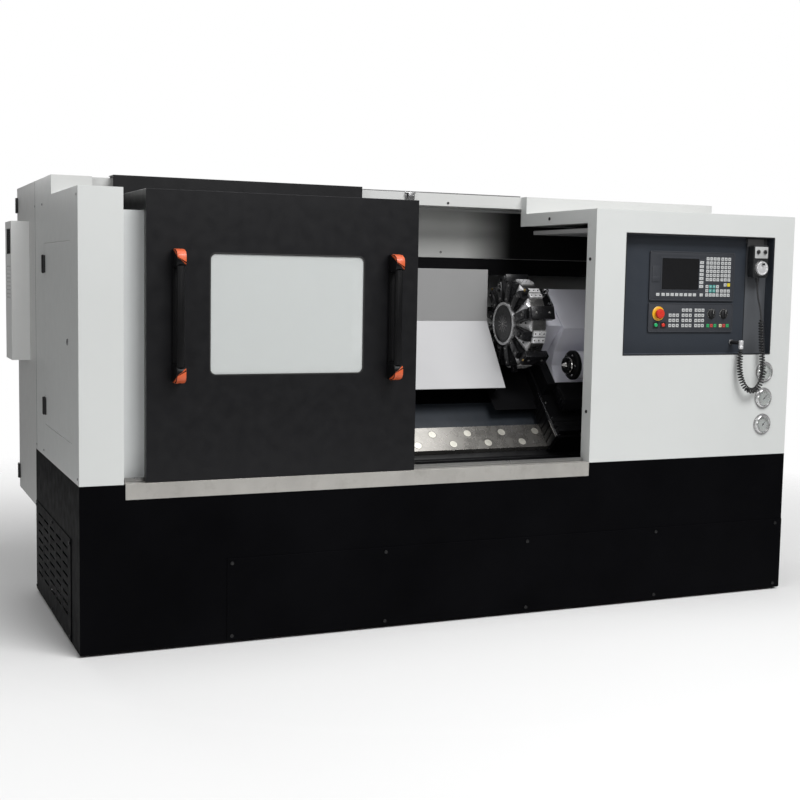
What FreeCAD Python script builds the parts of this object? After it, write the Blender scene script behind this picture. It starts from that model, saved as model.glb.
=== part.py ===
import FreeCAD
import Part
import Sketcher
import math
import os
import re

# A slant-bed turning lathe in its full enclosure. Everything is set out from the front left
# corner of the enclosure at floor level: X to the right along the front, Y to the back, Z up.
# The finished pieces are then shifted so that the middle of the machine's box is the origin.

Vector = FreeCAD.Vector

SIZES = {
    # enclosure
    "machine_length": 2965, "machine_depth": 1011, "base_top": 588, "front_top": 1588,
    "rear_top": 1660, "step_back": 566, "skin": 3, "base_wall": 4, "floor_gap": 8,
    "middle_x": 1446.5, "middle_y": 726.5,
    # base covers
    "service_left": 513, "service_top": 306.6, "vent_front": 165, "vent_back": 1000,
    "vent_top": 378, "slot_long": 105, "slot_high": 9, "slot_pitch": 150, "slot_rise": 34,
    "sill_left": 155, "sill_right": 1990, "sill_bottom": 535.7, "sill_depth": 34,
    "deck_left": 240, "deck_front": 60, "deck_back": 950,
    # bed, set on a slope through the spindle axis
    "spindle_back": 330, "spindle_up": 952, "swing_height": 250, "slant": 45,
    "bed_left": 345, "bed_right": 2900, "bed_foot": 60, "bed_front": 300, "bed_back": 900,
    "bed_wall": 40, "bed_flange": 130,
    "bed_reach": 394, "way_thick": 25, "way_width": 117, "lower_way": -233, "upper_way": 130,
    "way_left": 1010, "way_right": 2880, "plug_radius": 17, "plug_deep": 6, "plug_pitch": 160,
    "plug_fit": 0.1, "slide_gap": 0.15,
    "foot_radius": 50, "foot_thick": 25, "foot_inset": 110, "foot_screw": 12,
    # headstock, spindle and drive
    "head_left": 370, "head_right": 960, "journal": 65, "run_fit": 0.05, "bar_bore": 28,
    "nose_radius": 105, "nose_thick": 36, "tail_radius": 50, "pulley_left": 250,
    "pulley_wide": 80, "spindle_pulley": 95, "motor_pulley": 60, "belt_thick": 6,
    "belt_gap": 0.3, "motor_up": 330, "motor_radius": 100, "motor_left": 30,
    # chuck
    "chuck_face": 1095, "chuck_radius": 125, "jaw_wide": 30, "jaw_gap": 0.3, "jaw_deep": 22,
    "jaw_inner": 42, "jaw_outer": 112, "jaw_tall": 52,
    # enclosure sheets
    "head_width": 150, "recess": 80, "recess_top": 1518, "bulkhead": 1000,
    "door_left": 226, "door_width": 1004, "door_deep": 30, "hood_drop": 68,
    "hood_rise": 9, "hood_lip": 82, "upstand_gap": 3,
    "window_left": 446.5, "window_right": 1018, "window_low": 957, "window_high": 1378,
    "window_corner": 22, "window_lap": 18, "pane": 6,
    "grip_inset": 103, "grip_low": 934, "grip_high": 1388, "grip_radius": 13, "grip_out": 62,
    "grip_cap": 17, "grip_cap_long": 62,
    "beam_low": 1609, "beam_back": 610, "liner_back": 800, "liner_low": 1396, "tube_low": 1325,
    "cabinet_left": 1992, "cabinet_deep": 65, "roof_deep": 54,
    # way cover: a folded sheet above the ways
    "cover_low_back": 425, "cover_low_up": 853, "fold_back": 611, "fold_up": 1126,
    "cover_top": 1346, "cover_right": 1838,
    # carriage, turret and tailstock
    "saddle_left": 2010, "saddle_right": 2290, "saddle_low": -250, "saddle_high": 330,
    "saddle_thick": 80, "slide_low": -20, "slide_high": 400, "slide_top": 150, "guard_out": 34,
    "turret_up": 236, "turret_face": 1872, "turret_back": 1960, "turret_radius": 183,
    "turret_root": 95, "turret_hub": 84, "hub_out": 10, "stations": 12, "holder_wide": 42,
    "holder_fit": 0.2, "turret_shaft": 40, "housing_half": 105, "housing_top": 352,
    "housing_right": 2056, "cover_end": 2286,
    "tail_left": 2370, "tail_right": 2640, "nose_left": 2104, "tail_nose": 58, "quill": 35,
    "quill_left": 2078, "quill_long": 420,
    # side and rear doors
    "side_front": 147, "side_back": 742, "side_low": 715, "side_high": 1412, "leaf_gap": 2,
    "hinge_axis": 4.5, "hinge_pin": 3.8,
    "rear_width": 900, "rear_low": 351, "rear_back": 1528, "rear_leaf": 3,
    "cooler_front": 1160, "cooler_deep": 195, "cooler_low": 938, "cooler_high": 1508,
    "cooler_out": 72,
    # control panel
    "tray_left": 2131, "tray_right": 2865, "tray_low": 1012, "tray_high": 1499.5,
    "tray_deep": 46, "unit_left": 2275, "unit_wide": 420, "unit_proud": 6,
    "display_low": 1232, "display_tall": 200, "operator_low": 1104, "operator_tall": 119,
    "screen_left": 2333, "screen_right": 2514, "screen_low": 1277, "screen_high": 1404,
    "key": 13, "key_proud": 1.6, "button_radius": 8, "button_fit": 0.3,
    "stop_x": 2322, "stop_z": 1179, "start_x": 2311, "halt_x": 2347, "button_z": 1133,
    "knob_x": 2586, "knob_step": 62, "knob_z": 1180, "knob_radius": 16,
    "gauge_x": 2838, "gauge_top": 938, "gauge_step": 110.2, "gauge_flange": 45,
    "gauge_bezel": 34, "gauge_out": 14,
    # pendant
    "pendant_left": 2756, "pendant_wide": 75, "pendant_low": 1332, "pendant_tall": 134,
    "pendant_front": -5, "pendant_deep": 41, "wheel_z": 1371, "wheel_radius": 28,
    "gland_x": 2695, "gland_y": -22, "gland_low": 1036, "gland_radius": 10,
    "coil_radius": 12, "lead_radius": 3.2,
}

doc = FreeCAD.newDocument("TurningLathe")
sheet = doc.addObject("Spreadsheet::Sheet", "Sizes")
for row, (alias, value) in enumerate(SIZES.items(), 1):
    sheet.set("A%d" % row, alias)
    sheet.set("B%d" % row, str(value))
    sheet.setAlias("B%d" % row, alias)
doc.recompute()

pieces = {}


def cells(text):
    """An expression in plain size names, written for the sheet."""
    return re.sub(r"[a-z][a-z_]+", lambda m: "Sizes." + m[0] if m[0] in SIZES else m[0], str(text))


def size(name):
    return float(sheet.get(name))


def bind(thing, **properties):
    for name, text in properties.items():
        thing.setExpression(name.replace("__", "."), cells(text))


def place(thing, x, y, z, on_slope=False):
    """Set a corner or centre. A piece on the slope keeps the slope's own axes until later."""
    shift_x, shift_y = ("0", "0") if on_slope else ("middle_x", "middle_y")
    bind(thing, Placement__Base__x="%s - %s" % (x, shift_x),
         Placement__Base__y="%s - %s" % (y, shift_y), Placement__Base__z=z)


def block(name, x, y, z, long, deep, tall, on_slope=False):
    thing = doc.addObject("Part::Box", name)
    bind(thing, Length=long, Width=deep, Height=tall)
    place(thing, x, y, z, on_slope)
    return thing


TURNS = {"x": (Vector(0, 1, 0), 90), "y": (Vector(1, 0, 0), -90), "z": (Vector(0, 0, 1), 0)}


def rod(name, axis, x, y, z, radius, long, on_slope=False):
    """A cylinder that starts at x, y, z and runs along +axis."""
    thing = doc.addObject("Part::Cylinder", name)
    thing.Placement.Rotation = FreeCAD.Rotation(*TURNS[axis])
    bind(thing, Radius=radius, Height=long)
    place(thing, x, y, z, on_slope)
    return thing


def join(name, *things):
    thing = doc.addObject("Part::MultiFuse", name)
    thing.Shapes = list(things)
    return thing


def group(name, *things):
    thing = doc.addObject("Part::Compound", name)
    thing.Links = list(things)
    return thing


def cut(name, base, *tools):
    thing = doc.addObject("Part::Cut", name)
    thing.Base = base
    thing.Tool = tools[0] if len(tools) == 1 else join(name + "_tools", *tools)
    return thing


def keep(label, thing):
    """Name a finished piece."""
    thing.Label = label
    pieces[label] = thing
    return thing


def shifted(name, shape):
    """A shape worked out below from the sheet's sizes, set at the machine's corner."""
    thing = doc.addObject("Part::Feature", name)
    thing.Shape = Part.makeCompound([shape])
    place(thing, "0", "0", "0")
    return thing


def tilted(thing):
    """Lay a piece drawn in the slope's axes (X, up the slope, out from it) on the slope."""
    thing.Placement.Rotation = FreeCAD.Rotation(Vector(1, 0, 0), size("slant"))
    bind(thing, Placement__Base__x="-middle_x",
         Placement__Base__y="spindle_back + swing_height * sin(slant) - middle_y",
         Placement__Base__z="spindle_up - swing_height * cos(slant)")
    return thing


def slope_point(up, out):
    """Where a point on the slope lies, as expressions for Y and Z."""
    y = "(spindle_back + (swing_height - (%s)) * sin(slant) + (%s) * cos(slant))" % (out, up)
    z = "(spindle_up - (swing_height - (%s)) * cos(slant) + (%s) * sin(slant))" % (out, up)
    return y, z


def plane_of(body, role):
    return next(part for part in body.Origin.OriginFeatures if part.Role == role)


def outline(body, role, corners):
    """A closed sketch whose corners are held by expressions."""
    sketch = body.newObject("Sketcher::SketchObject", body.Name + "_sketch")
    sketch.AttachmentSupport = (plane_of(body, role), [""])
    sketch.MapMode = "FlatFace"
    count = len(corners)
    guess = [Vector(10 * math.cos(2 * math.pi * i / count), 10 * math.sin(2 * math.pi * i / count), 0)
             for i in range(count)]
    for i in range(count):
        sketch.addGeometry(Part.LineSegment(guess[i], guess[(i + 1) % count]), False)
    for i in range(count):
        sketch.addConstraint(Sketcher.Constraint("Coincident", i, 2, (i + 1) % count, 1))
    for i, corner in enumerate(corners):
        for kind, text, start in (("DistanceX", corner[0], guess[i].x), ("DistanceY", corner[1], guess[i].y)):
            index = sketch.addConstraint(Sketcher.Constraint(kind, -1, 1, i, 1, start))
            sketch.setExpression("Constraints[%d]" % index, cells(text))
    return sketch


def prism(name, role, corners, start, long, on_slope=False):
    """A padded outline: on the YZ plane it runs along +X from start."""
    body = doc.addObject("PartDesign::Body", name)
    sketch = outline(body, role, corners)
    bind(sketch, AttachmentOffset__Base__z=start)
    pad = body.newObject("PartDesign::Pad", name + "_pad")
    pad.Profile = sketch
    bind(pad, Length=long)
    if not on_slope:
        place(body, "0", "0", "0")
    return body


def turned(name, profile, y, z, on_slope=False):
    """A piece turned about an axis along X. The profile gives distance along X and radius."""
    body = doc.addObject("PartDesign::Body", name)
    sketch = outline(body, "XZ_Plane", profile)
    turn = body.newObject("PartDesign::Revolution", name + "_turn")
    turn.Profile = sketch
    turn.ReferenceAxis = (sketch, ["H_Axis"])
    turn.Angle = 360
    place(body, "0", y, z, on_slope)
    return body


# ---- base: sheet-steel casing round the bed, open below, with a deck round the chip opening

shell = block("casing_outer", "0", "0", "floor_gap", "machine_length", "machine_depth", "base_top - floor_gap")
room = block("casing_room", "base_wall", "base_wall", "0", "machine_length - 2 * base_wall",
             "machine_depth - 2 * base_wall", "base_top - base_wall")
deck_opening = block("deck_opening", "deck_left", "deck_front", "base_top - 2 * base_wall",
                     "machine_length - deck_left - deck_front", "deck_back - deck_front", "3 * base_wall")
service_opening = block("service_opening", "service_left + 50", "-1", "floor_gap + 40",
                        "machine_length - service_left - 110", "base_wall + 2", "service_top - 90")
vent_opening = block("vent_opening", "-1", "vent_front + 40", "floor_gap + 40", "base_wall + 2",
                     "vent_back - vent_front - 80", "vent_top - 90")
chip_floor = prism("chip_floor", "YZ_Plane",
                   [("1", "base_top - 40"), ("bed_front - 1", "sill_bottom - 180"),
                    ("bed_front - 1", "sill_bottom - 183"), ("1", "base_top - 43")],
                   "bulkhead", "machine_length - bulkhead - 1")
keep("base_casing", join("base_sheets", cut("casing", shell, room, deck_opening, service_opening, vent_opening),
                         chip_floor))

keep("service_cover", block("service_cover_sheet", "service_left", "-skin", "floor_gap + 4",
                            "machine_length - service_left", "skin", "service_top - floor_gap - 4"))


def vent_slots():
    """Rows and columns of level slots, as one compound of cutters."""
    slots = []
    rows = int((size("vent_top") - 100) // size("slot_rise"))
    columns = int((size("vent_back") - size("vent_front") - 60) // size("slot_pitch"))
    for row in range(rows):
        for column in range(columns):
            y = size("vent_front") + 62 + column * size("slot_pitch")
            z = 92 + row * size("slot_rise")
            slots.append(Part.makeBox(3 * size("skin"), size("slot_long"), size("slot_high"),
                                      Vector(-2 * size("skin"), y, z)))
    return Part.makeCompound(slots)


vent_sheet = block("vent_sheet", "-skin", "vent_front", "floor_gap + 4", "skin", "vent_back - vent_front",
                   "vent_top - floor_gap - 4")
keep("end_vent_cover", cut("vented", vent_sheet, shifted("vent_slots", vent_slots())))

sill_face = block("sill_face", "sill_left", "-skin", "sill_bottom", "sill_right - sill_left", "skin",
                  "base_top + skin - sill_bottom")
sill_flange = block("sill_flange", "sill_left", "-skin", "base_top", "sill_right - sill_left",
                    "skin + sill_depth", "skin")
keep("sill_strip", join("sill", sill_face, sill_flange))

# ---- bed: one casting whose sloping face carries two hardened guideways. It is hollow in
# three bays, each open through the foot.

bed_face_y, bed_face_z = slope_point("lower_way - 25", "-way_thick")
reach_y, reach_z = slope_point("bed_reach", "-way_thick")
inner_low_y, inner_low_z = slope_point("lower_way - 25 - bed_wall * 0.414", "-way_thick - bed_wall")
inner_top_y, inner_top_z = slope_point("bed_reach - bed_wall * 0.414", "-way_thick - bed_wall")
casting = prism("bed_casting", "YZ_Plane",
                [("bed_front", "bed_foot"), ("bed_back", "bed_foot"), ("bed_back", reach_z),
                 (reach_y, reach_z), (bed_face_y, bed_face_z), ("bed_front", bed_face_z)],
                "bed_left", "bed_right - bed_left")
bays = []
for n in range(3):
    bays.append(prism("bed_bay_%d" % n, "YZ_Plane",
                      [("bed_front + bed_flange", "bed_foot - 1"), ("bed_back - bed_flange", "bed_foot - 1"),
                       ("bed_back - bed_flange", "bed_foot + bed_wall"),
                       ("bed_back - bed_wall", "bed_foot + bed_wall"), ("bed_back - bed_wall", inner_top_z),
                       (inner_top_y, inner_top_z), (inner_low_y, inner_low_z),
                       ("bed_front + bed_wall", inner_low_z), ("bed_front + bed_wall", "bed_foot + bed_wall"),
                       ("bed_front + bed_flange", "bed_foot + bed_wall")],
                      "bed_left + bed_wall + %d * (bed_right - bed_left - bed_wall) / 3" % n,
                      "(bed_right - bed_left - bed_wall) / 3 - bed_wall"))
keep("bed", cut("bed_cored", casting, *bays))


def plug_places():
    """Two staggered rows of bolt holes along the lower way: X and distance up the slope."""
    places = []
    first = size("way_left") + 80
    rows = ((0.25, 0), (0.70, 0.5))
    for share, stagger in rows:
        x = first + stagger * size("plug_pitch")
        while x < size("way_right") - 60:
            places.append((x, size("lower_way") + share * size("way_width")))
            x += size("plug_pitch")
    return places


def plug_discs(radius):
    deep = size("plug_deep")
    return Part.makeCompound([Part.makeCylinder(radius, deep, Vector(x, up, -deep)) for x, up in plug_places()])


def loose(name, shape):
    """A shape in the slope's own axes."""
    thing = doc.addObject("Part::Feature", name)
    thing.Shape = Part.makeCompound([shape])
    return thing


lower = block("lower_way_bar", "way_left", "lower_way", "-way_thick", "way_right - way_left", "way_width",
              "way_thick", True)
upper = block("upper_way_bar", "way_left", "upper_way", "-way_thick", "way_right - way_left", "way_width",
              "way_thick", True)
bolt_holes = loose("bolt_holes", plug_discs(size("plug_radius") + size("plug_fit")))
keep("guideways", tilted(group("ways", cut("drilled_way", lower, bolt_holes), upper)))
keep("way_plugs", tilted(group("plugs", loose("plug_discs", plug_discs(size("plug_radius"))))))


def feet():
    """Six levelling feet: a round pad under the bed with its screw."""
    solids = []
    inset = size("foot_inset")
    left, right = size("bed_left") + inset, size("bed_right") - inset
    for x in (left, (left + right) / 2, right):
        for y in (size("bed_front") + inset - 30, size("bed_back") - inset + 30):
            pad = Part.makeCylinder(size("foot_radius"), size("foot_thick"), Vector(x, y, 0))
            screw = Part.makeCylinder(size("foot_screw"), size("bed_foot") - size("foot_thick"),
                                      Vector(x, y, size("foot_thick")))
            solids.append(pad.fuse(screw))
    return Part.makeCompound(solids)


keep("levelling_feet", shifted("feet", feet()))

# ---- headstock, standing on the lower half of the slope so that the way cover passes behind it

foot_a = slope_point("lower_way", "-way_thick")
foot_b = slope_point("-20", "-way_thick")
neck = slope_point("-20", "95")
keep("headstock", cut("headstock_bored", prism(
    "headstock_casting", "YZ_Plane",
    [foot_a, foot_b, neck, ("cover_low_back - 20", "cover_low_up + 14"), ("fold_back - 105", "fold_up - 102"),
     ("spindle_back + 115", "spindle_up + 150"), ("spindle_back - 85", "spindle_up + 150"),
     ("spindle_back - 140", "spindle_up + 95"), ("spindle_back - 140", "spindle_up - 150"),
     ("spindle_back - 30", "spindle_up - 300")], "head_left", "head_right - head_left"),
    rod("spindle_bore", "x", "head_left - 1", "spindle_back", "spindle_up", "journal + run_fit",
        "head_right - head_left + 2")))

spindle_profile = [("pulley_left - 20", "bar_bore"), ("bulkhead", "bar_bore"), ("bulkhead", "nose_radius"),
                   ("bulkhead - nose_thick", "nose_radius"), ("bulkhead - nose_thick", "journal"),
                   ("head_left - 5", "journal"), ("head_left - 5", "tail_radius"),
                   ("pulley_left + pulley_wide", "tail_radius"),
                   ("pulley_left + pulley_wide", "spindle_pulley"), ("pulley_left", "spindle_pulley"),
                   ("pulley_left", "tail_radius"), ("pulley_left - 20", "tail_radius")]
keep("spindle", turned("spindle_shaft", spindle_profile, "spindle_back", "spindle_up"))

chuck_disc = rod("chuck_disc", "x", "bulkhead", "spindle_back", "spindle_up", "chuck_radius",
                 "chuck_face - bulkhead")
chuck_hole = rod("chuck_hole", "x", "bulkhead - 1", "spindle_back", "spindle_up", "bar_bore",
                 "chuck_face - bulkhead + 2")


def jaw(number, grow):
    """A stepped jaw in the chuck's face, at one third of a turn each. grow opens its slot."""
    half = size("jaw_wide") / 2 + grow
    face = size("chuck_face")
    low = size("jaw_inner")
    slot_end = size("chuck_radius") + 5 if grow else size("jaw_outer")
    slot_start = low - 14 if grow else low
    tail = Part.makeBox(size("jaw_deep") + grow, 2 * half, slot_end - slot_start,
                        Vector(face - size("jaw_deep") - grow, -half, slot_start))
    if grow:
        solid = tail
    else:
        high = Part.makeBox(size("jaw_tall"), 2 * half, 26, Vector(face, -half, low))
        step = Part.makeBox(size("jaw_tall") * 0.6, 2 * half, 40, Vector(face, -half, low + 26))
        solid = tail.fuse([high, step]).removeSplitter()
    solid.rotate(Vector(0, 0, 0), Vector(1, 0, 0), 120 * number)
    solid.translate(Vector(0, size("spindle_back"), size("spindle_up")))
    return solid


jaw_slots = [shifted("jaw_slot_%d" % (n + 1), jaw(n, size("jaw_gap"))) for n in range(3)]
keep("chuck_body", cut("chuck", chuck_disc, chuck_hole, *jaw_slots))
for n in range(3):
    keep("chuck_jaw_%d" % (n + 1), shifted("jaw_%d" % (n + 1), jaw(n, 0)))

motor_case = rod("motor_case", "x", "motor_left", "spindle_back", "motor_up", "motor_radius",
                 "pulley_left - motor_left - 15")
motor_foot = block("motor_foot", "motor_left + 30", "spindle_back - motor_radius", "motor_up - motor_radius - 30",
                   "pulley_left - motor_left - 75", "2 * motor_radius", "60")
motor_hole = rod("motor_hole", "x", "pulley_left - 60", "spindle_back", "motor_up", "19 + run_fit", "60")
keep("spindle_motor", cut("motor", join("motor_solid", motor_case, motor_foot), motor_hole))

pulley_profile = [("pulley_left - 55", "0"), ("pulley_left + pulley_wide", "0"),
                  ("pulley_left + pulley_wide", "motor_pulley"), ("pulley_left", "motor_pulley"),
                  ("pulley_left", "19"), ("pulley_left - 55", "19")]
keep("motor_pulley", turned("motor_pulley_turned", pulley_profile, "spindle_back", "motor_up"))


def loop_face(grow):
    """The area inside a belt line round both pulleys, grown outwards."""
    top, low = size("spindle_pulley") + grow, size("motor_pulley") + grow
    span = size("spindle_up") - size("motor_up")
    lean = math.asin((top - low) / span)
    x, y = size("pulley_left") + 8, size("spindle_back")
    centres = ((size("spindle_up"), top), (size("motor_up"), low))
    def at(centre, radius, side, angle):
        return Vector(x, y + side * radius * math.cos(angle), centre + radius * math.sin(angle))
    a, b = at(*centres[0], 1, -lean), at(*centres[1], 1, -lean)
    c, d = at(*centres[1], -1, -lean), at(*centres[0], -1, -lean)
    edges = [Part.LineSegment(a, b).toShape(),
             Part.Arc(b, Vector(x, y, centres[1][0] - low), c).toShape(),
             Part.LineSegment(c, d).toShape(),
             Part.Arc(d, Vector(x, y, centres[0][0] + top), a).toShape()]
    return Part.Face(Part.Wire(edges))


belt_wide = size("pulley_wide") - 16
belt_outer = loop_face(size("belt_gap") + size("belt_thick")).extrude(Vector(belt_wide, 0, 0))
belt_inner = loop_face(size("belt_gap")).extrude(Vector(belt_wide, 0, 0))
keep("spindle_belt", shifted("belt", belt_outer.cut(belt_inner)))

# ---- enclosure, head end

head_front = block("head_front", "0", "0", "base_top", "head_width", "skin", "front_top - base_top")
head_return = block("head_return", "head_width - skin", "0", "base_top", "skin", "recess", "front_top - base_top")
head_side = block("head_side", "0", "0", "base_top", "skin", "machine_depth", "front_top - base_top")
head_side_rise = block("head_side_rise", "0", "step_back", "front_top - 1", "skin", "machine_depth - step_back",
                       "rear_top - front_top + 1")
head_roof = block("head_roof", "0", "0", "front_top - skin", "head_width", "step_back", "skin")
side_hole = block("side_hole", "-1", "side_front", "side_low", "skin + 2", "side_back - side_front",
                  "side_high - side_low")
head_sheets = join("head_sheets", head_front, head_return, head_side, head_side_rise, head_roof)
keep("head_cover", cut("head_cut", head_sheets, side_hole))

leaf = block("side_leaf", "0", "side_front + leaf_gap", "side_low + leaf_gap", "skin",
             "side_back - side_front - 2 * leaf_gap", "side_high - side_low - 2 * leaf_gap")
leaf_stiffener = block("side_stiffener", "skin", "side_front + 30", "side_low + 40", "18",
                       "side_back - side_front - 60", "side_high - side_low - 80")
leaf_hollow = block("side_hollow", "skin", "side_front + 50", "side_low + 60", "20",
                    "side_back - side_front - 100", "side_high - side_low - 120")
keep("side_door", cut("side_leaf_framed", join("side_leaf_solid", leaf, leaf_stiffener), leaf_hollow))

panel_face = block("panel_face", "head_width", "recess", "base_top + 4", "bulkhead + skin - head_width", "skin",
                   "recess_top - base_top - 4")
panel_roof = block("panel_roof", "head_width", "recess", "recess_top - skin", "bulkhead + skin - head_width",
                   "step_back - recess - 25", "skin")
wall_low = slope_point("lower_way - 17", "-way_thick + 3")
wall_in = slope_point("-24", "-way_thick + 3")
wall_up = slope_point("-24", "88")
bulkhead_sheet = prism("bulkhead_sheet", "YZ_Plane",
                       [("recess", "base_top + 4"), ("bed_front", "base_top + 4"), wall_low, wall_in, wall_up,
                        ("cover_low_back - 24", "cover_low_up + 14"), ("fold_back - 24", "fold_up + 14"),
                        ("fold_back - 24", "cover_top + 20"), ("step_back - 25", "recess_top"),
                        ("recess", "recess_top")], "bulkhead", "skin")
chuck_window = rod("chuck_window", "x", "bulkhead - 1", "spindle_back", "spindle_up", "chuck_radius + 9", "skin + 2")
keep("fixed_front_panel", cut("fixed_panel", join("fixed_sheets", panel_face, panel_roof, bulkhead_sheet),
                              chuck_window))

# ---- enclosure, rear and roof

beam_face = block("beam_face", "skin", "beam_back", "beam_low", "machine_length - 2 * skin", "skin",
                  "rear_top - beam_low")
beam_floor = block("beam_floor", "skin", "beam_back", "beam_low", "machine_length - 2 * skin",
                   "liner_back + skin - beam_back", "skin")
liner = block("liner", "skin", "liner_back", "liner_low", "machine_length - 2 * skin", "skin",
              "beam_low + skin - liner_low")
rear_roof = block("rear_roof", "skin", "beam_back", "rear_top - skin", "machine_length - 2 * skin",
                  "machine_depth - beam_back", "skin")
rear_wall = block("rear_wall", "skin", "machine_depth - skin", "base_top", "machine_length - 2 * skin", "skin",
                  "rear_top - base_top")
wings = []
for side, left, wide in (("head", "skin", "head_width - skin"),
                         ("cabinet", "cabinet_left + skin", "machine_length - cabinet_left - 2 * skin")):
    wings.append(block("wing_face_" + side, left, "step_back", "front_top", wide, "skin", "rear_top - front_top"))
    wings.append(block("wing_roof_" + side, left, "step_back", "rear_top - skin", wide,
                       "beam_back - step_back + skin", "skin"))
keep("rear_cover", join("rear_sheets", beam_face, beam_floor, liner, rear_roof, rear_wall, *wings))

tube = block("tube", "skin", "liner_back + skin", "tube_low", "machine_length - 2 * skin", "60",
             "liner_low - tube_low")
tube_room = block("tube_room", "0", "liner_back + skin + 4", "tube_low + 4", "machine_length", "52",
                  "liner_low - tube_low - 8")
keep("frame_tube", cut("tube_hollow", tube, tube_room))

lower_rail = block("lower_rail", "head_width + 10", "door_deep + 8", "base_top + skin", "cabinet_left - head_width - 20",
                   "8", "14")
upper_rail = block("upper_rail", "door_left", "beam_back + 10", "rear_top", "cabinet_left - door_left",
                   "10", "5")
keep("door_rails", group("rails", lower_rail, upper_rail))

# ---- enclosure, control end: a double front with the roof on it and an end flange

front_box = block("front_box", "cabinet_left", "0", "base_top", "machine_length - cabinet_left", "cabinet_deep",
                  "front_top - base_top")
roof_box = block("roof_box", "cabinet_left", "cabinet_deep - 1", "front_top - roof_deep",
                 "machine_length - cabinet_left", "step_back - cabinet_deep + 1", "roof_deep")
front_room = block("front_room", "cabinet_left + skin", "skin", "base_top + skin",
                   "machine_length - cabinet_left - 2 * skin", "cabinet_deep - 2 * skin",
                   "front_top - base_top - 2 * skin")
roof_room = block("roof_room", "cabinet_left + skin", "cabinet_deep - 2 * skin", "front_top - roof_deep + skin",
                  "machine_length - cabinet_left - 2 * skin", "step_back - cabinet_deep + skin",
                  "roof_deep - 2 * skin")
panel_hole = block("panel_hole", "tray_left", "-1", "tray_low", "tray_right - tray_left", "skin + 2",
                   "tray_high - tray_low")
end_wall = block("end_wall", "machine_length - skin", "cabinet_deep - 1", "base_top", "skin",
                 "machine_depth - cabinet_deep + 1", "front_top - base_top")
end_rise = block("end_rise", "machine_length - skin", "step_back", "front_top - 1", "skin",
                 "machine_depth - step_back", "rear_top - front_top + 1")
corner_post = block("corner_post", "cabinet_left", "step_back - skin", "front_top - roof_deep", "skin",
                    "beam_back - step_back + skin", "rear_top - front_top + roof_deep")
cabinet_solid = join("cabinet_solid", front_box, roof_box, end_wall, end_rise, corner_post)
keep("control_cabinet", cut("cabinet", cabinet_solid, front_room, roof_room, panel_hole))


# ---- control panel: a sunk tray with the display unit above the operator panel

tray_block = block("tray_block", "tray_left + 1", "0", "tray_low + 1", "tray_right - tray_left - 2",
                   "tray_deep + skin", "tray_high - tray_low - 2")
tray_room = block("tray_room", "tray_left + 1 + skin", "-1", "tray_low + 1 + skin",
                  "tray_right - tray_left - 2 - 2 * skin", "tray_deep + 1", "tray_high - tray_low - 2 - 2 * skin")
keep("control_panel_tray", cut("tray", tray_block, tray_room))

unit_front = "tray_deep - unit_proud"


def key_grid(left, top, columns, rows, pitch_x, pitch_z):
    """Raised key caps in rows, from the top left one."""
    caps = []
    cap = size("key")
    front = size("tray_deep") - size("unit_proud") - size("key_proud")
    for row in range(rows):
        for column in range(columns):
            corner = Vector(left + column * pitch_x, front, top - cap - row * pitch_z)
            caps.append(Part.makeBox(cap, size("key_proud") + 0.5, cap, corner))
    return caps


display_top = size("display_low") + size("display_tall")
unit_right = size("unit_left") + size("unit_wide")
display_caps = (key_grid(unit_right - 144, display_top - 20, 4, 6, 17.7, 17)
                + key_grid(unit_right - 70, display_top - 20, 3, 6, 17.7, 17)
                + key_grid(unit_right - 52, display_top - 126, 2, 1, 17.7, 17)
                + key_grid(unit_right - 144, display_top - 134, 4, 3, 17.7, 17.2)
                + key_grid(unit_right - 70, display_top - 151, 3, 2, 17.7, 17.2)
                + key_grid(size("screen_left") - 24, size("screen_low") - 13, 1, 1, 22, 16)
                + key_grid(size("screen_left") + 2, size("screen_low") - 13, 8, 1, 22, 16)
                + key_grid(size("screen_right") + 8, size("screen_low") - 13, 1, 1, 22, 16)
                + key_grid(size("screen_right") + 8, display_top - 36, 1, 7, 22, 16.3))
display_plate = block("display_plate", "unit_left", unit_front, "display_low", "unit_wide", "unit_proud",
                      "display_tall")
screen_seat = block("screen_seat", "screen_left", "tray_deep - unit_proud - 1", "screen_low",
                    "screen_right - screen_left", "4", "screen_high - screen_low")
keep("display_unit", join("display", cut("display_bezel", display_plate, screen_seat),
                          shifted("display_caps", Part.makeCompound(display_caps))))
keep("display_screen", block("screen_glass", "screen_left + 0.5", "tray_deep - unit_proud + 1", "screen_low + 0.5",
                             "screen_right - screen_left - 1", "2", "screen_high - screen_low - 1"))

operator_top = size("operator_low") + size("operator_tall")
group_left = (size("unit_left") + 99, size("unit_left") + 163, size("unit_left") + 226)
operator_caps = []
for left, rows in zip(group_left, (3, 4, 4)):
    operator_caps += key_grid(left, operator_top - 22 - (4 - rows) * 21, 3, rows, 17.7, 21)
for left in (size("knob_x") - 23, size("knob_x") + 40):
    operator_caps += key_grid(left, operator_top - 85, 3, 1, 18, 16)
operator_plate = block("operator_plate", "unit_left", unit_front, "operator_low", "unit_wide", "unit_proud",
                       "operator_tall")
stop_collar = rod("stop_collar", "y", "stop_x", "tray_deep - unit_proud - 3", "stop_z", "29", "4")
stop_hole = rod("stop_hole", "y", "stop_x", "tray_deep - unit_proud - 4", "stop_z", "11.3", "9")
start_hole = rod("start_hole", "y", "start_x", "tray_deep - unit_proud - 1", "button_z",
                 "button_radius + button_fit", "unit_proud + 2")
halt_hole = rod("halt_hole", "y", "halt_x", "tray_deep - unit_proud - 1", "button_z", "button_radius + button_fit",
                "unit_proud + 2")
knob_holes = [rod("knob_hole_%d" % n, "y", "knob_x + %d * knob_step" % n, "tray_deep - unit_proud - 1", "knob_z",
                  "3 + run_fit", "unit_proud + 2") for n in range(2)]
operator_solid = join("operator_solid", operator_plate, stop_collar,
                      shifted("operator_caps", Part.makeCompound(operator_caps)))
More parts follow.
